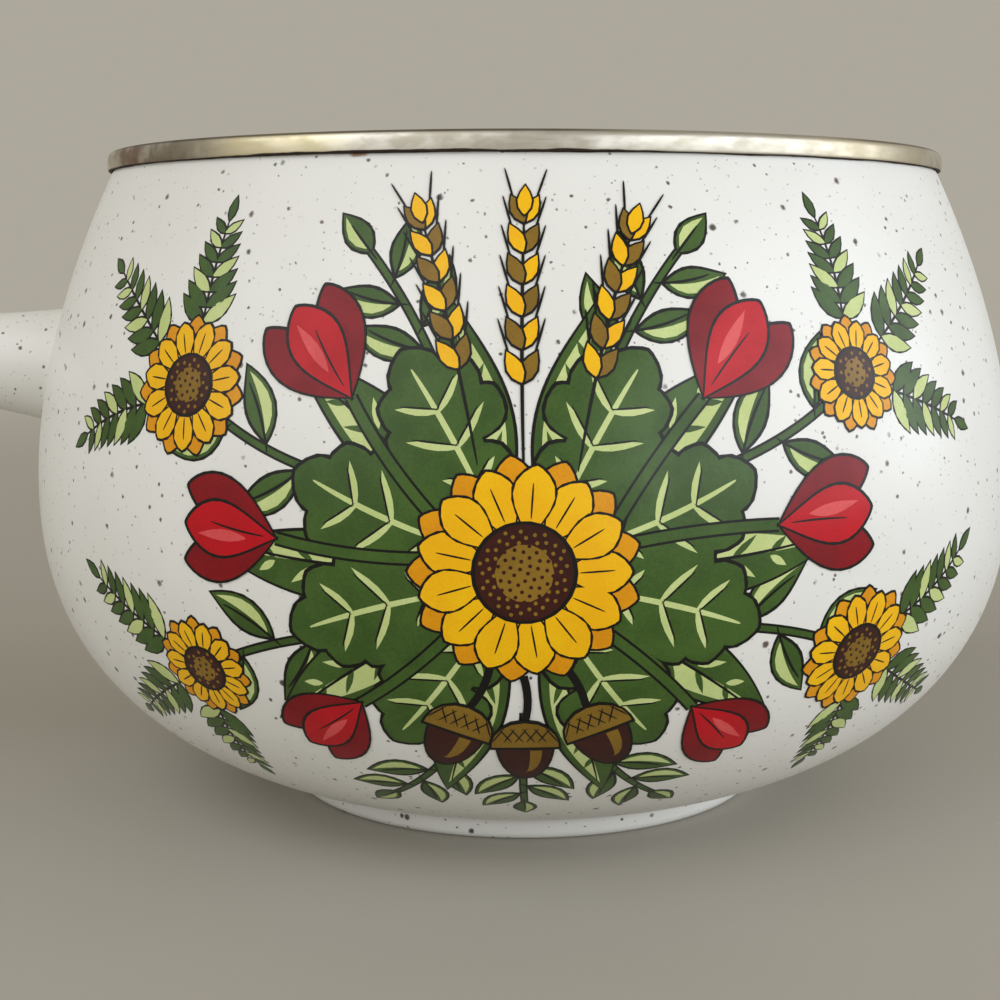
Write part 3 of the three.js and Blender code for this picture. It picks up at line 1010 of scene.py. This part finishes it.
# %% Hanging ring
RING_RADIUS = 14 * MM
RING_WIRE_RADIUS = 1.4 * MM
RING_GAP_ANGLE = math.radians(1.6)
RING_STEPS = 120
WIRE_SIDES = 24

ring_low, ring_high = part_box("hang_ring")
ring_centre = (ring_low + ring_high) / 2
deselect()
bpy.ops.mesh.primitive_circle_add(
    vertices=WIRE_SIDES, radius=RING_WIRE_RADIUS, fill_type="NOTHING",
    location=ring_centre - Vector((0, 0, RING_RADIUS)), rotation=(0, math.pi / 2, math.pi / 2),
)
ring = bpy.context.object
ring.name = "wire_ring"
bpy.ops.object.transform_apply(location=True, rotation=True, scale=True)
bpy.ops.object.mode_set(mode="EDIT")
bpy.ops.mesh.select_all(action="SELECT")
bpy.ops.mesh.spin(
    steps=RING_STEPS, angle=2 * math.pi - RING_GAP_ANGLE, center=ring_centre, axis=(1, 0, 0)
)
bpy.ops.mesh.select_all(action="SELECT")
bpy.ops.mesh.fill_holes(sides=0)
close_mesh()
finish_piece(ring, "ring", "hang_ring", grey_plating)
print("ring:", len(ring.data.polygons), "faces")

# %% [markdown]
# ## The print: a flat drawing wrapped on the pot
# Pots of this kind carry a bright transfer print that is fired into the glaze. This one is a folk
# garland of sunflowers, tulips, oak leaves, acorns, wheat and ferns. A picture file is not wanted,
# and a texture would blur the thin ink lines, so each stroke is a film of colour of its own. The
# drawing is made flat, in millimetres from the middle of the belly, and then wrapped. The wrap
# shrinks it with the wall's radius, so that round motifs stay round where the pot draws in.

# %% Wrapping table
WRAP_STEPS = 900
WRAP_LOWEST = FOOT_HEIGHT + 3 * MM
PRINT_LIFT = 0.03 * MM
LEVEL_LIFT = 0.012 * MM

wrap_height = np.linspace(WRAP_LOWEST, BAND_FOOT_HEIGHT, WRAP_STEPS)
wrap_radius = np.array([wall_radius(height) for height in wrap_height])
wrap_climb = np.gradient(wrap_height)
wrap_widening = np.gradient(wrap_radius)
wrap_length = np.hypot(wrap_climb, wrap_widening)
wrap_way = np.cumsum(wrap_length * BELLY_RADIUS / wrap_radius)
wrap_way -= np.interp(BELLY_HEIGHT, wrap_height, wrap_way)


def wrapped(points):
    """Points of the flat drawing (across, up, level) on the pot's wall, higher levels further out."""
    across, up, level = np.array(points).T
    way = up * MM
    lift = PRINT_LIFT + LEVEL_LIFT * level
    out = np.interp(way, wrap_way, wrap_climb / wrap_length)
    rise = np.interp(way, wrap_way, -wrap_widening / wrap_length)
    radius = np.interp(way, wrap_way, wrap_radius) + lift * out
    height = np.interp(way, wrap_way, wrap_height) + lift * rise
    turn = across * MM / BELLY_RADIUS
    return np.stack((radius * np.sin(turn), -radius * np.cos(turn), height), axis=1)


print("the drawing may run from", [round(way / MM, 1) for way in (wrap_way[0], wrap_way[-1])], "mm")

# %% [markdown]
# ## Strokes
# A stroke is a strip along a bent centre line, as wide at each place as its shape says. Points of the
# flat drawing are complex numbers, because a turn is then one multiplication. Each colour gathers
# its strokes in one list of points and faces. A motif is inked by a black stroke that is a little
# larger, one level below its colour.

# %% Shapes of strokes


def pointed(t):
    return math.sin(math.pi * min(max(t, 0), 1) ** 0.85)


def rounded(t):
    return math.sqrt(max(1 - (2 * t - 1) ** 2, 0))


def petal(t):
    return max(math.sin(math.pi * t ** 1.45), 0) ** 0.72


def nut(t):
    return math.sqrt(max(1 - t ** 2.4, 0))


def cap(t):
    return math.sqrt(max(1 - (1 - t) ** 2.2, 0))


def even(t):
    return 1.0


def pen(t):
    return max(math.sin(math.pi * t), 0) ** 0.35


print("width halfway along: petal", round(petal(0.5), 2), "and leaf", round(pointed(0.5), 2))

# %% Strokes
INK = 0.5
INK_OVERRUN = 1.3
STROKE_STEP = 1.3
LEAST_STEPS = 6
STRAIGHT = 1e-6
LOOK_AHEAD = 0.001
paint = {}


def polar(length, heading):
    return cmath.rect(length, math.radians(heading))


def bow(base, heading, length, bend=0.0):
    """A centre line that bends evenly; its heading is that of its middle."""
    turn = math.radians(bend) or STRAIGHT
    start = cmath.exp(1j * (math.radians(heading) - turn / 2))
    return lambda t: base + length * start * (cmath.exp(1j * turn * t) - 1) / (1j * turn)


def stroke(colour, level, base, heading, length, width, shape, bend=0.0, sides=(-1, 1)):
    points, faces = paint.setdefault(colour, ([], []))
    spine = bow(base, heading, length, bend)
    low, high = sides
    along = max(math.ceil(length / STROKE_STEP), LEAST_STEPS)
    across = max(math.ceil(width * (high - low) / 2 / STROKE_STEP), 1)
    first = len(points)
    for i in range(along + 1):
        t = (1 - math.cos(math.pi * i / along)) / 2
        ahead = spine(t + LOOK_AHEAD) - spine(t - LOOK_AHEAD)
        reach = 1j * ahead / abs(ahead) * width / 2 * shape(t)
        for j in range(across + 1):
            point = spine(t) + reach * (low + (high - low) * j / across)
            points.append((point.real, point.imag, level))
    row = across + 1
    for i in range(along):
        for j in range(across):
            k = first + i * row + j
            faces.append((k, k + row, k + row + 1, k + 1))


def inked(colour, level, base, heading, length, width, shape, bend=0.0, ink=INK):
    overrun = INK_OVERRUN * ink
    back = polar(overrun, heading - bend / 2)
    stroke("black", level, base - back, heading, length + 2 * overrun, width + 2 * ink, shape, bend)
    stroke(colour, level + 1, base, heading, length, width, shape, bend)


def line(level, base, heading, length, width=INK, bend=0.0):
    stroke("black", level, base, heading, length, width, pen, bend)


# %% [markdown]
# ## Leaves, ferns and sprigs
# A leaf is a pointed green stroke with one pale half, and long leaves have pale and dark veins. An
# oak leaf is made of round lobes: all their ink lies on one level and all their green on the next,
# so the lobes join and one outline is left. Sizes are in millimetres, or are shares of the motif.

# %% Leaves
LONG_LEAF = 18
VEINS_AT = (0.2, 0.36, 0.52, 0.68)
VEIN_LEAN = 36
VEIN_ASIDE = 0.4
PALE_VEIN = 1.3
DARK_VEIN = 1.1
PALE_SHARE = 0.84
PALE_HALF = (0.05, 0.8)
RIB_OVERRUN = 2
# Lobes of an oak leaf: place along it, share of its width
OAK_LOBES = ((0.14, 0.62), (0.37, 0.96), (0.6, 0.82))
OAK_LOBE_LEAN = 56
OAK_VEIN = 1.4
OAK_LINE = 0.35
OAK_LINE_ASIDE = 0.5
OAK_RIB = 0.9


def leaf(base, heading, length, width, bend=0.0, depth=0, light=1):
    inked("green", depth, base, heading, length, width, pointed, bend)
    near, far = PALE_HALF
    half = (near, far) if light > 0 else (-far, -near)
    start = heading - bend / 2
    inner = base + polar((1 - PALE_SHARE) / 2 * length, start)
    stroke("lime", depth + 2, inner, heading, PALE_SHARE * length, width, pointed, PALE_SHARE * bend, half)
    if length > LONG_LEAF:
        spine = bow(base, heading, length, bend)
        for t in VEINS_AT:
            way = heading + bend * (t - 0.5)
            reach = 0.44 * width * pointed(t + 0.08)
            beside = spine(t) + polar(VEIN_ASIDE, way - light * 90)
            lean = light * VEIN_LEAN
            stroke("lime", depth + 2, beside, way - lean, 1.2 * reach, PALE_VEIN, pointed)
            stroke("green", depth + 2.5, spine(t), way + lean, 1.35 * reach, DARK_VEIN, pointed)
    line(depth + 3, base - polar(RIB_OVERRUN, start), heading, 0.95 * length, INK, bend)


def oak_leaf(base, heading, length, width, bend=0.0, depth=0):
    spine = bow(base, heading, length, bend)
    inked("green", depth, base, heading, 0.9 * length, 0.42 * width, pointed, bend)
    inked("green", depth, spine(0.6), heading + 0.3 * bend, 0.42 * length, 0.32 * length, petal)
    for t, share in OAK_LOBES:
        for side in (-1, 1):
            way = heading + bend * (t - 0.5) + side * OAK_LOBE_LEAN
            reach = 0.6 * width * share
            inked("green", depth, spine(t), way, reach, 0.29 * length, petal)
            stroke("lime", depth + 2, spine(t), way, 0.74 * reach, OAK_VEIN, pointed)
            beside = spine(t) + polar(OAK_LINE_ASIDE, way - side * 90)
            line(depth + 3, beside, way, 0.66 * reach, OAK_LINE)
    stroke("lime", depth + 2, base, heading, 0.9 * length, OAK_RIB, pen, 0.9 * bend)


# %% Ferns and sprigs
FERN_INK = 0.36
FERN_LEAF = 8.4
FERN_LEAN = 52
FERN_PAIRS = 7
FERN_RIB = 0.55
FERN_LEAF_BEND = 20
FERN_TIP = (4.6, 1.7)
STALK_INK = 1.7
STALK_WIDTH = 0.9
SPRIG_LEAN = 46
SPRIG_LEAF_BEND = 24
SPRIG_LEAF_START = 1.6


def fern(base, heading, length, bend):
    spine = bow(base, heading, length, bend)
    line(0, base, heading, length, FERN_RIB, bend)
    for k in range(FERN_PAIRS):
        t = 0.16 + 0.78 * k / FERN_PAIRS
        way = heading + bend * (t - 0.5)
        size = FERN_LEAF * (1 - 0.62 * t)
        for side in (-1, 1):
            colour = "lime" if (k + (side > 0)) % 3 == 0 else "green"
            lean = way + side * FERN_LEAN
            turn = -side * FERN_LEAF_BEND
            inked(colour, 1, spine(t), lean, size, 0.36 * size, pointed, turn, FERN_INK)
    inked("green", 1, spine(0.93), heading + bend / 2, *FERN_TIP, pointed, 0, FERN_INK)


def sprig(start, end, bend, leaves, size):
    """A bent stalk with a leaf at each (place, side); gives back its tip and the way it points."""
    chord = end - start
    half_turn = math.radians(bend) / 2
    length = abs(chord) * half_turn / math.sin(half_turn)
    heading = math.degrees(cmath.phase(chord))
    spine = bow(start, heading, length, bend)
    stroke("black", 0, start, heading, length, STALK_INK, even, bend)
    stroke("green", 0.5, start, heading, length, STALK_WIDTH, even, bend)
    for t, side in leaves:
        way = heading + bend * (t - 0.5) + side * SPRIG_LEAN
        reach = size * (1.15 - 0.3 * t)
        foot = spine(t) + polar(SPRIG_LEAF_START, way)
        leaf(foot, way, reach, 0.4 * size, -side * SPRIG_LEAF_BEND, 0, side)
    return spine(1), heading + bend / 2


# %% [markdown]
# ## Sunflowers, tulips, acorns and wheat
# The flowers are rings and fans of petals, with every second petal a level higher, so that the
# petals overlap as they do in a drawing. The seeds of a sunflower follow the golden angle.

# %% Sunflowers
GOLDEN_ANGLE = 137.5
PETAL_INK = 0.35
FOLD_LINE = 0.3
FOLD_LEAN = 3
SEED = 0.6
SEED_DENSITY = 1.6
HUB_SHARE = 0.42
HUB_MIDDLE = 0.6


def sunflower(centre, radius, depth, petals, turn=0.0):
    for ring, colour in enumerate(("amber", "yellow")):
        for k in range(petals):
            heading = turn + 360 * (k + 0.5 * (1 - ring)) / petals
            level = depth + 4 * ring + 2 * (k % 2)
            base = centre + polar(0.3 * radius, heading)
            reach = radius * (0.62 if ring else 0.7)
            inked(colour, level, base, heading, reach, 0.36 * radius, petal, 0, PETAL_INK)
            if ring:
                fold = base + polar(0.16 * radius, heading)
                line(level + 1.5, fold, heading + FOLD_LEAN, 0.32 * radius, FOLD_LINE)
    hub = HUB_SHARE * radius
    middle = HUB_MIDDLE * hub
    inked("brown", depth + 8, centre - hub, 0, 2 * hub, 2 * hub, rounded)
    stroke("olive", depth + 10, centre - middle, 0, 2 * middle, 2 * middle, rounded)
    seeds = round(SEED_DENSITY * hub * hub)
    for k in range(seeds):
        spot = centre + polar(0.92 * hub * math.sqrt((k + 0.5) / seeds), GOLDEN_ANGLE * k)
        colour = "olive" if abs(spot - centre) > middle else "brown"
        stroke(colour, depth + 11, spot - SEED / 2, 0, SEED, SEED, rounded)


# %% Tulips and acorns
TULIP_LEAN = 19
TULIP_BEND = 26
TULIP_STEM_INK = 2.3
TULIP_STEM = 1.5
TULIP_STEM_BEND = 14
TULIP_LINE = 0.35
ACORN_STALK = 1.3
ACORN_STALK_BEND = 30
ACORN_GLEAM = (0.18, 0.62)
HATCH_LEAN = 32
HATCH_LINE = 0.28


def tulip(base, heading, length, depth, stem):
    width = 0.62 * length
    stroke("black", depth - 2, base, heading + 180, stem, TULIP_STEM_INK, even, TULIP_STEM_BEND)
    stroke("green", depth - 1, base, heading + 180, stem, TULIP_STEM, even, TULIP_STEM_BEND)
    for k, side in enumerate((-1, 1)):
        way = heading + side * TULIP_LEAN
        inked("crimson", depth + 2 * k, base, way, 0.96 * length, 0.62 * width, petal, -side * TULIP_BEND)
    inked("red", depth + 4, base, heading, 0.9 * length, 0.72 * width, petal)
    gleam = base + polar(0.28 * length, heading + 9)
    stroke("rose", depth + 6, gleam, heading + 3, 0.5 * length, 0.16 * width, pointed, 8)
    line(depth + 6, base + polar(0.1 * length, heading), heading - 5, 0.55 * length, TULIP_LINE, -8)


def acorn(base, heading, length, depth):
    width = 0.74 * length
    rim = base + polar(0.36 * length, heading)
    inside_cap = polar(0.08 * length, heading)
    inked("brown", depth, rim - inside_cap, heading, 0.7 * length, 0.82 * width, nut)
    shoulder = rim + inside_cap
    stroke("olive", depth + 2, shoulder, heading, 0.42 * length, 0.82 * width, nut, 0, ACORN_GLEAM)
    inked("olive", depth + 3, base, heading, 0.38 * length, width, cap)
    for k in range(-2, 3):
        for lean in (-HATCH_LEAN, HATCH_LEAN):
            start = base + polar(0.12 * length, heading) + polar(0.17 * width * k, heading + 90)
            way = heading + lean
            line(depth + 5, start - polar(0.05 * length, way), way, 0.26 * length, HATCH_LINE)
    stroke("black", depth - 1, base, heading + 180, 0.6 * length, ACORN_STALK, even, ACORN_STALK_BEND)


# %% Wheat
WHEAT_PAIRS = 6
WHEAT_RIB = 0.6
GRAIN_SIZE = (5.4, 2.5)
GRAIN_LEAN = 26
GRAIN_INK = 0.4
AWN_LENGTH = 7
AWN_WIDTH = 0.42
AWN_LEAN = 17
AWN_START = 4


def wheat(base, heading, length, bend, depth):
    spine = bow(base, heading, length, bend)
    line(depth, base, heading, length, WHEAT_RIB, bend)
    for k in range(WHEAT_PAIRS):
        t = 0.36 + 0.58 * k / (WHEAT_PAIRS - 1)
        way = heading + bend * (t - 0.5)
        for side in (-1, 1):
            colour = "yellow" if (k + (side > 0)) % 2 else "olive"
            lean = way + side * GRAIN_LEAN
            line(depth, spine(t) + polar(AWN_START, lean), way + side * AWN_LEAN, AWN_LENGTH, AWN_WIDTH)
            level = depth + 1 + 2 * (side > 0)
            inked(colour, level, spine(t), lean, *GRAIN_SIZE, pointed, 0, GRAIN_INK)
    inked("yellow", depth + 5, spine(0.97), heading + bend / 2, *GRAIN_SIZE, pointed, 0, GRAIN_INK)


# %% [markdown]
# ## The garland
# One large sunflower sits in the middle on a bed of leaves. Tulips fan out beside it, wheat stands
# above it and acorns hang below it. Four sprigs carry small sunflowers and ferns to the sides, and
# leafy sprigs fill the top and the bottom. Places are millimetres across and up, headings degrees.

# %% Places in the garland
MIDDLE = -4j
# Leaves of the bed: heading, length, bend
BED_LEAVES = (
    (4, 42, 12), (41, 40, -12), (139, 40, 12), (177, 43, -14), (213, 42, 14),
    (327, 42, -14), (252, 40, 10), (288, 40, -10), (74, 34, 8), (106, 34, -8),
)
# Oak leaves: heading, bend
OAK_LEAVES = ((22, 14), (60, -10), (120, 12), (158, -12), (196, 12), (234, -10), (306, 12), (345, -12))
# Headings of the gaps between the oak leaves, which round green patches close
GAPS = (3, 41, 139, 177, 216, 325)
# Ears of wheat: base, heading, length, bend
WHEAT_EARS = ((-7 + 12j, 105, 42, 8), (0 + 8j, 90, 46, -4), (8 + 11j, 75, 41, -10))
# Tulips: base, heading, length
TULIPS = (
    (-27 + 22j, 128, 20), (28 + 22j, 53, 21), (-39 + 0j, 176, 19),
    (40 + 2j, 5, 20), (-27 - 27j, 221, 18), (28 - 28j, 318, 18),
)
# Acorns: base, heading, level
ACORNS = ((-9 - 27j, 246, 12), (10 - 27j, 296, 12), (0 - 30j, 271, 16))
# Sprigs with a flower: start, end, bend, radius of the flower
FLOWER_SPRIGS = (
    (-16 + 8j, -58 + 23j, -34, 11.5), (16 - 14j, 59 - 21j, -34, 11.5),
    (-16 - 14j, -57 - 24j, 30, 9.5), (16 + 8j, 57 + 25j, 30, 9.5),
)
FLOWER_SPRIG_LEAVES = ((0.4, 1), (0.56, -1), (0.74, 1))
# Ferns behind each small flower: lean, length
FERNS = ((0, 27), (62, 24), (-62, 24))
# Sprigs with leaves alone: start, end, bend
LEAF_SPRIGS = (
    (-9 + 14j, -26 + 46j, 26), (9 + 14j, 26 + 46j, -26), (0 - 28j, 0 - 58j, 4),
    (-8 - 28j, -27 - 55j, -24), (8 - 28j, 27 - 55j, 24),
)
LEAF_SPRIG_LEAVES = ((0.44, 1), (0.54, -1), (0.68, 1), (0.8, -1))
print("garland:", len(TULIPS), "tulips,", len(ACORNS), "acorns,", len(WHEAT_EARS), "ears of wheat")

# %% Draw the garland
BED_LEVEL = 3
OAK_LEVEL = 7
WHEAT_LEVEL = 10.5
TULIP_LEVEL = 12
FLOWER_LEVEL = 14
SMALL_FLOWER_LEVEL = 6
BED_START = 10
BED_LEAF_WIDTH = 10.5
OAK_START = 11
OAK_LEAF_SIZE = (27, 19)
PATCH_START = 15
PATCH = 9
STEM_END = 12
ACORN_LENGTH = 15.5
FLOWER_RADIUS = 17.5
FLOWER_PETALS = 13
SMALL_FLOWER_PETALS = 11
SMALL_FLOWER_TURN = 9
FLOWER_SPRIG_LEAF = 13
LEAF_SPRIG_LEAF = 12
SPRIG_TIP_LEAF = (9, 4.6)


def draw_middle():
    for heading, length, bend in BED_LEAVES:
        light = 1 if bend > 0 else -1
        base = MIDDLE + polar(BED_START, heading)
        leaf(base, heading, length, BED_LEAF_WIDTH, bend, BED_LEVEL, light)
    for heading, bend in OAK_LEAVES:
        oak_leaf(MIDDLE + polar(OAK_START, heading), heading, *OAK_LEAF_SIZE, bend, OAK_LEVEL)
    for heading in GAPS:
        inked("green", OAK_LEVEL, MIDDLE + polar(PATCH_START, heading), heading, PATCH, PATCH, rounded)
    for base, heading, length, bend in WHEAT_EARS:
        wheat(base, heading, length, bend, WHEAT_LEVEL)
    for base, heading, length in TULIPS:
        tulip(base, heading, length, TULIP_LEVEL, abs(base - MIDDLE) - STEM_END)
    for base, heading, level in ACORNS:
        acorn(base, heading, ACORN_LENGTH, level)
    sunflower(MIDDLE, FLOWER_RADIUS, FLOWER_LEVEL, FLOWER_PETALS)


def draw_sprigs():
    for start, end, bend, radius in FLOWER_SPRIGS:
        tip, way = sprig(start, end, bend, FLOWER_SPRIG_LEAVES, FLOWER_SPRIG_LEAF)
        for lean, length in FERNS:
            fern(tip + polar(0.6 * radius, way + lean), way + 0.9 * lean, length, 0.25 * lean + 8)
        sunflower(tip, radius, SMALL_FLOWER_LEVEL, SMALL_FLOWER_PETALS, SMALL_FLOWER_TURN)
    for start, end, bend in LEAF_SPRIGS:
        tip, way = sprig(start, end, bend, LEAF_SPRIG_LEAVES, LEAF_SPRIG_LEAF)
        leaf(tip, way, *SPRIG_TIP_LEAF)


draw_middle()
draw_sprigs()
print("strokes:", {colour: len(faces) for colour, (points, faces) in paint.items()})

# %% [markdown]
# ## Fired colours
# Each colour is a glass of its own, printed in one pass. It lies a little thicker in some places than
# in others, so its tone drifts, and it is as glossy as the enamel under it. That drift is the same
# for all the colours, so it is a node group with the thin and the full tone as its inputs.

# %% Fired colours
PAINTS = {
    "black": ((16, 14, 10), (10, 9, 6)),
    "green": ((70, 99, 40), (56, 83, 30)),
    "lime": ((206, 219, 150), (192, 207, 132)),
    "yellow": ((250, 195, 6), (245, 181, 2)),
    "amber": ((232, 158, 6), (220, 144, 2)),
    "red": ((197, 4, 26), (181, 2, 18)),
    "crimson": ((138, 5, 20), (121, 2, 14)),
    "rose": ((226, 88, 88), (214, 74, 76)),
    "brown": ((64, 22, 14), (50, 15, 9)),
    "olive": ((143, 110, 33), (127, 96, 25)),
}
DRIFT_SHARE = 0.65
FILM_SPECULAR = 0.32


def make_colour_group():
    graph, given, made = new_group(
        "fired_colour",
        {"Vector": "Vector", "Thin": "Color", "Full": "Color"},
        {"Colour": "Color", "Dullness": "Float"},
    )
    drift = graph.noise(given["Vector"], 140.0, 3.0)
    grain = graph.noise(given["Vector"], 2400.0)
    tone = graph.plus(graph.times(drift, DRIFT_SHARE), graph.times(grain, 1 - DRIFT_SHARE))
    graph.feed(made, {
        "Colour": graph.mix(graph.ramp(tone, 0.35, 0.65), given["Thin"], given["Full"]),
        "Dullness": graph.ramp(drift, 0.3, 0.7, *GLAZE_DULLNESS),
    })
    return graph.tree


colour_group = make_colour_group()


def fired_finish(colour):
    material, graph, shader, place = new_finish("fired_" + colour)
    thin, full = (linear(*tone) for tone in PAINTS[colour])
    values = {"Vector": place, "Thin": thin, "Full": full}
    film = graph.add("Group", values, node_tree=colour_group).outputs
    graph.feed(shader, {
        "Base Color": film["Colour"],
        "Roughness": film["Dullness"],
        "Specular IOR Level": FILM_SPECULAR,
    })
    return material


print("group:", colour_group.name, "for", len(PAINTS), "colours")

# %% [markdown]
# ## Laying the colours on the pot
# There are many hundreds of strokes, each shaped by a formula, so their faces are written straight
# into one mesh for each colour. Doubles at the stroke tips are merged, and Solidify then gives the
# films a back that lies inside the pot's wall, so that no edge hangs over the glaze.

# %% Lay the colours
FILM_DEPTH = 0.5 * MM


def lay_colour(colour):
    points, faces = paint[colour]
    mesh = bpy.data.meshes.new("print_" + colour)
    mesh.from_pydata(wrapped(points).tolist(), [], faces)
    piece = bpy.data.objects.new("print_" + colour, mesh)
    bpy.context.scene.collection.objects.link(piece)
    pick(piece)
    bpy.ops.object.mode_set(mode="EDIT")
    bpy.ops.mesh.select_all(action="SELECT")
    bpy.ops.mesh.remove_doubles(threshold=MERGE_WITHIN)
    bpy.ops.object.mode_set(mode="OBJECT")
    film = piece.modifiers.new("film", "SOLIDIFY")
    film.thickness = FILM_DEPTH
    film.offset = -1
    bpy.ops.object.modifier_apply(modifier=film.name)
    bpy.ops.object.shade_smooth_by_angle(angle=SMOOTH_UNDER)
    finish_piece(piece, "pan", None, fired_finish(colour))
    print(piece.name, len(mesh.polygons), "faces")


for colour in PAINTS:
    lay_colour(colour)

# %% [markdown]
# ## Floor and light
# A wide pale floor carries the pan's shadow. Away from the pan it fades, for rays that see it, into
# the even colour of the world, so no horizon shows from any side. A low window to the right gives the
# brightest side, a wide lamp above fills the rest, and the warm world stands for the walls of the
# room. Places and sizes are in metres, and powers in watts.

# %% Floor
FLOOR_RADIUS = 12.0
FLOOR_SIDES = 96
FLOOR_COLOUR = linear(178, 173, 162)
FLOOR_GRAIN = 0.97
FLOOR_FADE = (0.3, 1.3)
WORLD_COLOUR = (1.0, 0.93, 0.79, 1)
WORLD_STRENGTH = 0.42


def floor_finish():
    material, graph, shader, place = new_finish("pale_paper")
    darker = tuple(c * FLOOR_GRAIN for c in FLOOR_COLOUR[:3]) + (1,)
    colour = graph.mix(graph.noise(place, 900.0), FLOOR_COLOUR, darker)
    graph.feed(shader, {"Base Color": colour, "Roughness": 0.9})
    rays = graph.add("LightPath", {}).outputs
    seen = graph.larger(rays["Is Camera Ray"], rays["Is Glossy Ray"])
    seen = graph.larger(seen, rays["Is Transmission Ray"])
    fade = graph.times(seen, graph.ramp(graph.length(place), *FLOOR_FADE))
    room = graph.add("Emission", {"Color": WORLD_COLOUR, "Strength": WORLD_STRENGTH})
    blend = graph.add("MixShader", {0: fade, 1: shader.outputs[0], 2: room.outputs[0]})
    graph.feed(graph.tree.nodes["Material Output"], {"Surface": blend.outputs[0]})
    return material


deselect()
bpy.ops.mesh.primitive_circle_add(vertices=FLOOR_SIDES, radius=FLOOR_RADIUS, fill_type="NGON")
floor = bpy.context.object
floor.name = "floor"
floor.data.materials.append(floor_finish())
print("floor:", FLOOR_RADIUS, "m in radius")

# %% Lights
LAMPS = {
    "window_light": {
        "place": (1.35, -0.75, 0.36), "target": (0, 0, 0.04), "size": (3.2, 1.4),
        "power": 28.5, "colour": (0.845, 0.905, 1.0),
    },
    "high_light": {
        "place": (-1.05, -1.0, 1.0), "target": (0, 0, 0.06), "size": (2.2, 1.8),
        "power": 14.0, "colour": (0.91, 0.94, 1.0),
    },
}


def area_lamp(name, place, target, size, power, colour):
    bpy.ops.object.light_add(type="AREA", location=place)
    lamp = bpy.context.object
    lamp.name = name
    lamp.data.shape = "ELLIPSE"
    lamp.data.size, lamp.data.size_y = size
    lamp.data.energy = power
    lamp.data.color = colour
    lamp.rotation_euler = (Vector(target) - Vector(place)).to_track_quat("-Z", "Y").to_euler()


for name, values in LAMPS.items():
    area_lamp(name, **values)
world = bpy.data.worlds.new("even_room")
world.use_nodes = True
background = world.node_tree.nodes["Background"]
Graph(world.node_tree).feed(background, {"Color": WORLD_COLOUR, "Strength": WORLD_STRENGTH})
bpy.context.scene.world = world
